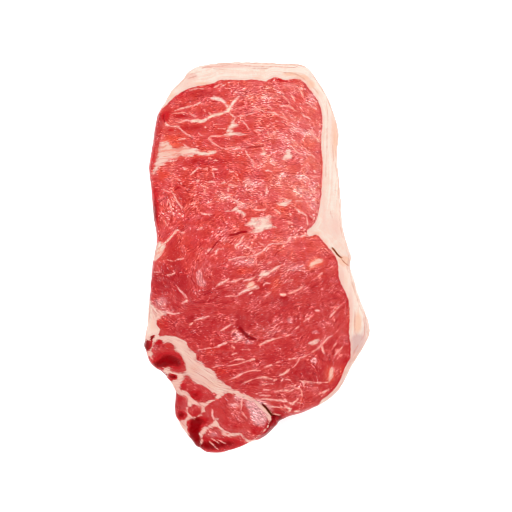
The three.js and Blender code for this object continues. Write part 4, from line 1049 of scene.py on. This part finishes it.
def tinted(factor, colour, tint):
    """A colour multiplied by a tint, by as much as the factor says."""
    inputs = {0: factor, 6: colour, 7: tint}
    mix = add_node(tree_of(factor), "ShaderNodeMix", inputs, data_type="RGBA", blend_type="MULTIPLY")
    return mix.outputs[2]


def sparse(noise, up, down):
    """A noise's peaks and hollows alone, with all between them left even."""
    return total(between(noise, 0.54, 0.74, 0.0, up), between(noise, 0.46, 0.28, 0.0, -down))


def isoline(value, width):
    """One on the middle contour of a noise, and zero further from it than the width."""
    away = calc("ABSOLUTE", calc("SUBTRACT", value, 0.5))
    return between(away, 0.0, width, 1.0, 0.0)


def patchy(amount, noise, spread=0.8):
    """A soft patch given ragged edges by a noise."""
    inside = between(total(amount, swing(noise, spread)), 0.1, 0.7)
    return times(inside, calc("MULTIPLY", amount, 1.3, clamp=True))


class Maps:
    """The mesh's anatomy as sockets of a material, with noises laid along its fibres or free of them."""

    def __init__(self, tree):
        self.tree = tree
        self.streak_tree = make_streak_group()
        self.mm = scaled(add_node(tree, "ShaderNodeTexCoord").outputs["Object"], 1 / MM)
        self.x, self.y, _ = parted(self.mm)
        for name in ("cap", "fat", "seam", "vein", "torn", "wall", *PATCHES):
            setattr(self, name, self.read(name))
        wander = total(swing(self.cloud(8.0, 2.0, 3.0), 3.0), swing(self.cloud(2.0, 1.0, 4.0), 0.7))
        self.fibre = calc("ADD", self.read("fibre"), wander)

    def read(self, name):
        return add_node(self.tree, "ShaderNodeAttribute", attribute_name=name).outputs["Fac"]

    def streaks(self, pitch, length, detail=2.0, seed=0.0):
        """A noise drawn out along the fibres, its pitch and length in mm."""
        return add_node(self.tree, "ShaderNodeGroup", {
            "Fibre": self.fibre, "Position": self.mm, "Pitch": pitch, "Length": length, "Detail": detail,
            "Seed": seed,
        }, node_tree=self.streak_tree).outputs["Value"]

    def cloud(self, size, detail=2.0, seed=0.0):
        """A noise of soft lumps, their size in mm."""
        return add_node(self.tree, "ShaderNodeTexNoise", {
            "Vector": self.mm, "W": seed, "Scale": 1 / size, "Detail": detail, "Roughness": 0.55,
        }, noise_dimensions="4D").outputs[0]


def lean_colour(tree, maps):
    """Lightness comes first, in doublings: each lobe's own, then its fibres' and grain's, with painted
    glints, sheen and shade. Colour follows it.

    The upper lobe is the brighter one. It passes into the lower one at about y = 0, and the tail begins at
    about y = -70.
    """
    across = times(between(maps.x, -38.0, 24.0, -0.015, 0.08), between(maps.y, -14.0, 14.0, 0.45, 1.0))
    level = total(
        between(maps.y, -14.0, 10.0, 0.275, 0.333), across, between(maps.y, -66.0, -74.0, 0.0, 0.03),
    )

    bundles = maps.streaks(4.5, 24.0, 1.0, 1.0)
    fascicles = maps.streaks(1.6, 9.0, 2.0, 2.0)
    threads = maps.streaks(0.36, 1.5, 0.0, 17.0)
    speckle = maps.cloud(0.28, 0.0, 13.0)
    darkness = patchy(maps.dark, maps.streaks(3.0, 14.0, 3.0, 6.0), 0.9)
    # Pale patches: partly a pale film on the lean, partly painted sheen.
    film_and_sheen = patchy(maps.pale, maps.streaks(1.4, 4.0, 3.0, 8.0), 1.2)
    open_grain = between(maps.cloud(5.0, 2.0, 11.0), 0.42, 0.62, 0.1, 0.85)
    open_grain = total(open_grain, times(maps.grain, 0.7), times(film_and_sheen, 0.6))
    quiet = times(between(open_grain, 0.1, 0.8, 0.45, 1.1), calc("SUBTRACT", 1.0, times(darkness, 0.5)))
    fine = total(sparse(threads, 0.8, 0.5), sparse(speckle, 0.7, 0.5))
    shades = total(
        swing(maps.cloud(9.0, 1.0, 41.0), 0.7),
        times(swing(bundles, 0.95), between(maps.x, 0.0, 30.0, 1.0, 0.7)),
        times(swing(fascicles, 0.3), between(maps.y, -20.0, 0.0, 0.7, 1.0)),
        times(swing(threads, 0.4), quiet),
        times(fine, open_grain, between(maps.y, -14.0, 10.0, 1.0, 0.8)),
    )

    arcs = times(
        isoline(maps.streaks(2.4, 34.0, 1.0, 9.0), 0.045), maps.arcs,
        between(maps.cloud(5.0, 1.0, 10.0), 0.36, 0.56),
    )
    # Painted glints: fine bright curls and specks where the wet grain would catch the light.
    glint_curls = times(
        isoline(maps.streaks(0.9, 2.2, 1.0, 16.0), 0.035), between(open_grain, 0.2, 1.2),
        between(maps.cloud(3.0, 2.0, 14.0), 0.4, 0.58), between(maps.y, -20.0, 0.0, 0.2, 0.3),
    )
    painted_glints = total(maps.streaks(0.4, 1.0, 0.0, 18.0), times(maps.grain, 0.05), times(film_and_sheen, 0.06))
    painted_glints = times(between(painted_glints, 0.68, 0.8), between(open_grain, 0.0, 0.8, 0.3, 1.1))
    # The pale arcs, with the painted glints.
    lights = total(times(arcs, 0.55), glint_curls, times(painted_glints, 0.6))
    # Painted shade along fine grooves that follow the fibres.
    groove_shade = times(
        isoline(maps.streaks(3.4, 16.0, 2.0, 19.0), 0.02), between(maps.cloud(8.0, 1.0, 12.0), 0.45, 0.6),
    )
    calm = between(maps.crimson, 0.1, 0.9, 1.0, 0.35)
    # Painted shade in fine grooves and on the steep sides darkens the lean; painted glints and sheen lighten
    # it.
    shades = total(
        times(total(shades, lights), calm), times(darkness, -0.45), times(film_and_sheen, 0.3),
        times(calc("SUBTRACT", open_grain, 0.5), 0.3), times(groove_shade, -0.4), times(maps.wall, -0.5),
    )
    level = times(level, calc("POWER", 2.0, shades))
    ramp = add_node(tree, "ShaderNodeValToRGB", {0: level})
    stops = ramp.color_ramp.elements
    for place, colour in LEAN_COLOURS[1:-1]:
        stops.new(place).color = colour
    stops[0].color, stops[-1].color = LEAN_COLOURS[0][1], LEAN_COLOURS[-1][1]
    colour = ramp.outputs[0]

    warmth = patchy(maps.warm, maps.streaks(2.5, 8.0, 2.0, 5.0))
    colour = tinted(times(warmth, 0.8), colour, WARM_TINT)
    orange = times(between(maps.cloud(6.0, 2.0, 7.0), 0.38, 0.62), between(maps.y, -16.0, 8.0, 0.3, 1.0))
    colour = tinted(orange, colour, ORANGE_TINT)
    granules = times(open_grain, between(maps.cloud(1.2, 2.0, 7.3), 0.45, 0.62))
    colour = tinted(granules, colour, GRANULE_TINT)
    # Painted sheen: a soft lavender veil, in spots and over the pale patches, strongest on the tail.
    sheen_spots = between(maps.cloud(3.5, 3.0, 42.0), 0.5, 0.7, 0.0, 0.07)
    sheen_film = times(film_and_sheen, between(maps.y, -60.0, -72.0, 0.22, 0.5))
    sheen_veil = calc("MINIMUM", total(sheen_film, sheen_spots), 0.8)
    colour = blend(calc("MAXIMUM", sheen_veil, times(painted_glints, 0.6)), colour, SHEEN_LAVENDER)
    blood = total(maps.crimson, swing(maps.streaks(2.4, 6.0, 3.0, 7.5), 0.5), times(lights, -0.35))
    colour = blend(between(blood, 0.1, 0.45, 0.0, 0.85), colour, VIVID)
    colour = blend(between(blood, 0.5, 0.95), colour, CRIMSON)
    # Brightness over all channels: the lobes' own tone and dark patches, with painted shading and glints in
    # the fine grain and painted shade in the grooves.
    tone_and_shading = total(
        between(maps.y, -16.0, 8.0, 0.92, 1.05), times(fine, open_grain, 0.22),
        times(total(swing(threads, 0.4), swing(speckle, 0.32)), quiet), times(darkness, -0.09),
        times(groove_shade, -0.15), times(lights, 0.08), times(warmth, 0.1),
    )
    return scaled(colour, tone_and_shading), fascicles, threads


def fat_colour(tree, maps):
    """Cream and blush in layers that follow the lean's edge, with stains, grey skin and fine veins."""
    layer_place = joined(times(maps.cap, 0.9), times(maps.x, 0.05), times(maps.y, 0.05))
    layers = add_node(tree, "ShaderNodeTexNoise", {
        "Vector": layer_place, "Scale": 1.0, "Detail": 4.0, "Roughness": 0.6,
    }).outputs[0]
    mottle = maps.cloud(3.0, 3.0, 21.0)
    richness = total(swing(layers, 2.3), swing(mottle, 1.2), swing(maps.cloud(0.8, 1.0, 23.0), 0.7))
    colour = blend(between(richness, -0.45, 0.25), PEACH, CREAM)
    colour = blend(times(patchy(maps.stain, mottle), 0.75), colour, STAIN)
    colour = blend(times(patchy(maps.blush, layers, 1.2), 0.75), colour, BLUSH)
    colour = blend(times(patchy(maps.silver, mottle), 0.8), colour, SILVER)
    vein_level = total(maps.vein, swing(maps.cloud(1.5, 2.0, 24.0), 0.8))
    colour = blend(between(vein_level, -0.3, 0.35, 0.0, 0.7), colour, VEIN)
    # Where the cap turns steeply down, its dried skin and painted shade darken it to tan-grey.
    skin_and_shade = total(maps.cloud(5.0, 3.0, 25.0), swing(maps.cloud(1.2, 2.0, 26.0), 0.5))
    skin_and_shade = times(between(maps.wall, 0.0, 0.5), between(skin_and_shade, 0.3, 0.7, 0.15, 0.85))
    colour = blend(skin_and_shade, colour, SKIN_AND_SHADE)
    creases = times(isoline(maps.cloud(7.0, 3.0, 27.0), 0.012), between(maps.wall, 0.2, 0.7, 0.0, 0.6))
    colour = blend(creases, colour, VEIN)
    return colour, layers


def make_flesh():
    """Wet raw beef: red lean with its grain, and creamy fat wherever the anatomy says."""
    material, tree, output = new_material("raw_beef")
    maps = Maps(tree)
    lean, fascicles, threads = lean_colour(tree, maps)
    fat, layers = fat_colour(tree, maps)

    # The cap's edge is clean. Fat within the lean frays into the grain, and shows some of the lean through.
    edge_waver = swing(maps.cloud(2.0, 3.0, 34.0), 1.4)
    fray = total(swing(maps.streaks(1.3, 5.0, 3.0, 30.0), 3.5), swing(maps.cloud(0.9, 1.0, 36.0), 1.4))
    inner = between(maps.cap, -0.5, -3.0)
    in_tail = times(between(maps.y, -36.0, -42.0), between(maps.x, 22.0, 12.0))
    loose = calc("MAXIMUM", inner, times(in_tail, 0.8))
    shake = add_node(tree, "ShaderNodeMix", {0: loose, 2: edge_waver, 3: fray}).outputs[0]
    ragged = swing(maps.streaks(0.6, 3.0, 2.0, 40.0), between(maps.fat, -1.0, -4.0, 3.0, 0.0))
    depth = total(maps.fat, shake, times(in_tail, calc("SUBTRACT", ragged, 0.25)))
    softness = total(between(maps.cap, -3.0, -0.5, 0.8, 0.35), between(maps.cap, 3.0, 9.0, 0.0, 0.2))
    thinned = times(inner, between(maps.streaks(1.2, 5.0, 3.0, 35.0), 0.44, 0.64, 0.0, 0.5))
    stringy = times(in_tail, between(maps.streaks(0.8, 7.0, 2.0, 44.0), 0.5, 0.7, 0.0, 0.55))
    thinned = calc("MAXIMUM", thinned, stringy)
    fatty = times(between(depth, times(softness, -1.0), softness), calc("SUBTRACT", 1.0, thinned))

    # Along the cap a dark line is painted in the lean, partly shade under the cap's edge, and a blush in the
    # fat.
    # Stained fat reddens the lean beside it, and the tail's fat is stringy.
    line = isoline(total(maps.cap, edge_waver, 1.1), 0.65)
    lean = blend(times(line, between(maps.x, 10.0, 28.0, 0.1, 0.35)), lean, EDGE_SHADE_RED)
    halo = times(between(maps.fat, -4.5, 0.5, 0.0, 0.9), calc("MINIMUM", maps.stain, 1.0), inner)
    lean = blend(times(halo, between(fray, -0.6, 0.4, 0.3, 1.0)), lean, HALO)
    edge_blush = times(between(maps.fat, 1.8, 0.2), between(layers, 0.4, 0.6, 0.2, 0.7))
    fat = blend(edge_blush, fat, BLUSH)
    strands = between(maps.streaks(0.7, 6.0, 2.0, 39.0), 0.44, 0.62, 0.0, 0.7)
    fat = blend(times(in_tail, total(strands, between(maps.fat, 2.2, 0.4, 0.45, 0.8))), fat, BLUSH)
    colour = blend(fatty, lean, fat)

    waver = total(swing(maps.streaks(0.8, 3.0, 1.0, 31.0), 0.8), swing(maps.cloud(0.7, 1.0, 37.0), 1.3))
    seam_level = total(maps.seam, waver, swing(maps.cloud(4.0, 2.0, 32.0), 0.9), 0.05)
    broken = between(maps.cloud(1.6, 2.0, 38.0), 0.35, 0.6, 0.7, 1.0)
    seam_colour = blend(between(seam_level, 0.2, 0.85), THIN_SEAM, CREAM)
    seam_colour = tinted(between(maps.cloud(6.0, 2.0, 33.0), 0.45, 0.6), seam_colour, OLD_SEAM_TINT)
    colour = blend(times(between(seam_level, -0.32, 0.42, 0.0, 0.92), broken), colour, seam_colour)
    # Painted shade inside the tears: dark red in the lean, brown in a parting of the fat, darker still where
    # a tear is deepest, and on down the tail's side.
    torn = total(maps.torn, swing(maps.cloud(0.9, 2.0, 43.0), 0.6))
    colour = blend(between(torn, 0.12, 0.85, 0.0, 0.9), colour, blend(fatty, TEAR_SHADE_RED, CLEFT_SHADE_BROWN))
    colour = tinted(between(torn, 0.95, 1.25, 0.0, 0.7), colour, DEEP_SHADE_TINT)

    # Fine relief: fibres and curd on the lean, faint layers and lobules on the fat.
    curd = maps.cloud(1.0, 2.0, 13.0)
    lean_height = total(fascicles, times(curd, 0.7), times(threads, 0.5))
    lean_height = times(lean_height, calc("SUBTRACT", 1.0, times(maps.crimson, 0.5)))
    fat_height = total(times(maps.cloud(2.2, 3.0, 14.0), 0.8), times(layers, 0.5))
    height = add_node(tree, "ShaderNodeMix", {0: fatty, 2: lean_height, 3: fat_height}).outputs[0]
    bump = add_node(tree, "ShaderNodeBump", {"Strength": 1.0, "Distance": 0.4 * MM, "Height": height})
    gloss = between(maps.cloud(3.0, 2.0, 15.0), 0.35, 0.65, 0.22, 0.38)
    roughness = add_node(tree, "ShaderNodeMix", {0: fatty, 2: gloss, 3: 0.42}).outputs[0]

    flesh = add_node(tree, "ShaderNodeBsdfPrincipled", {
        "Base Color": colour, "Roughness": roughness, "Normal": bump.outputs["Normal"], "IOR": 1.4,
        "Specular IOR Level": 0.15, "Subsurface Weight": 0.05, "Subsurface Radius": (1.0, 0.35, 0.25),
        "Subsurface Scale": 1.2 * MM,
    })
    tree.links.new(flesh.outputs[0], output.inputs["Surface"])
    return material


flesh_mesh = grow_slab()
map_anatomy(flesh_mesh)
steak = link_object("steak_flesh", flesh_mesh)
relief = steak.modifiers.new("relief", "NODES")
relief.node_group = make_relief_tree(make_flesh())
finished = plain_mesh(steak, "steak_flesh_finished")
steak.modifiers.remove(relief)
steak.data = finished

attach(steak, "root")
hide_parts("steak")
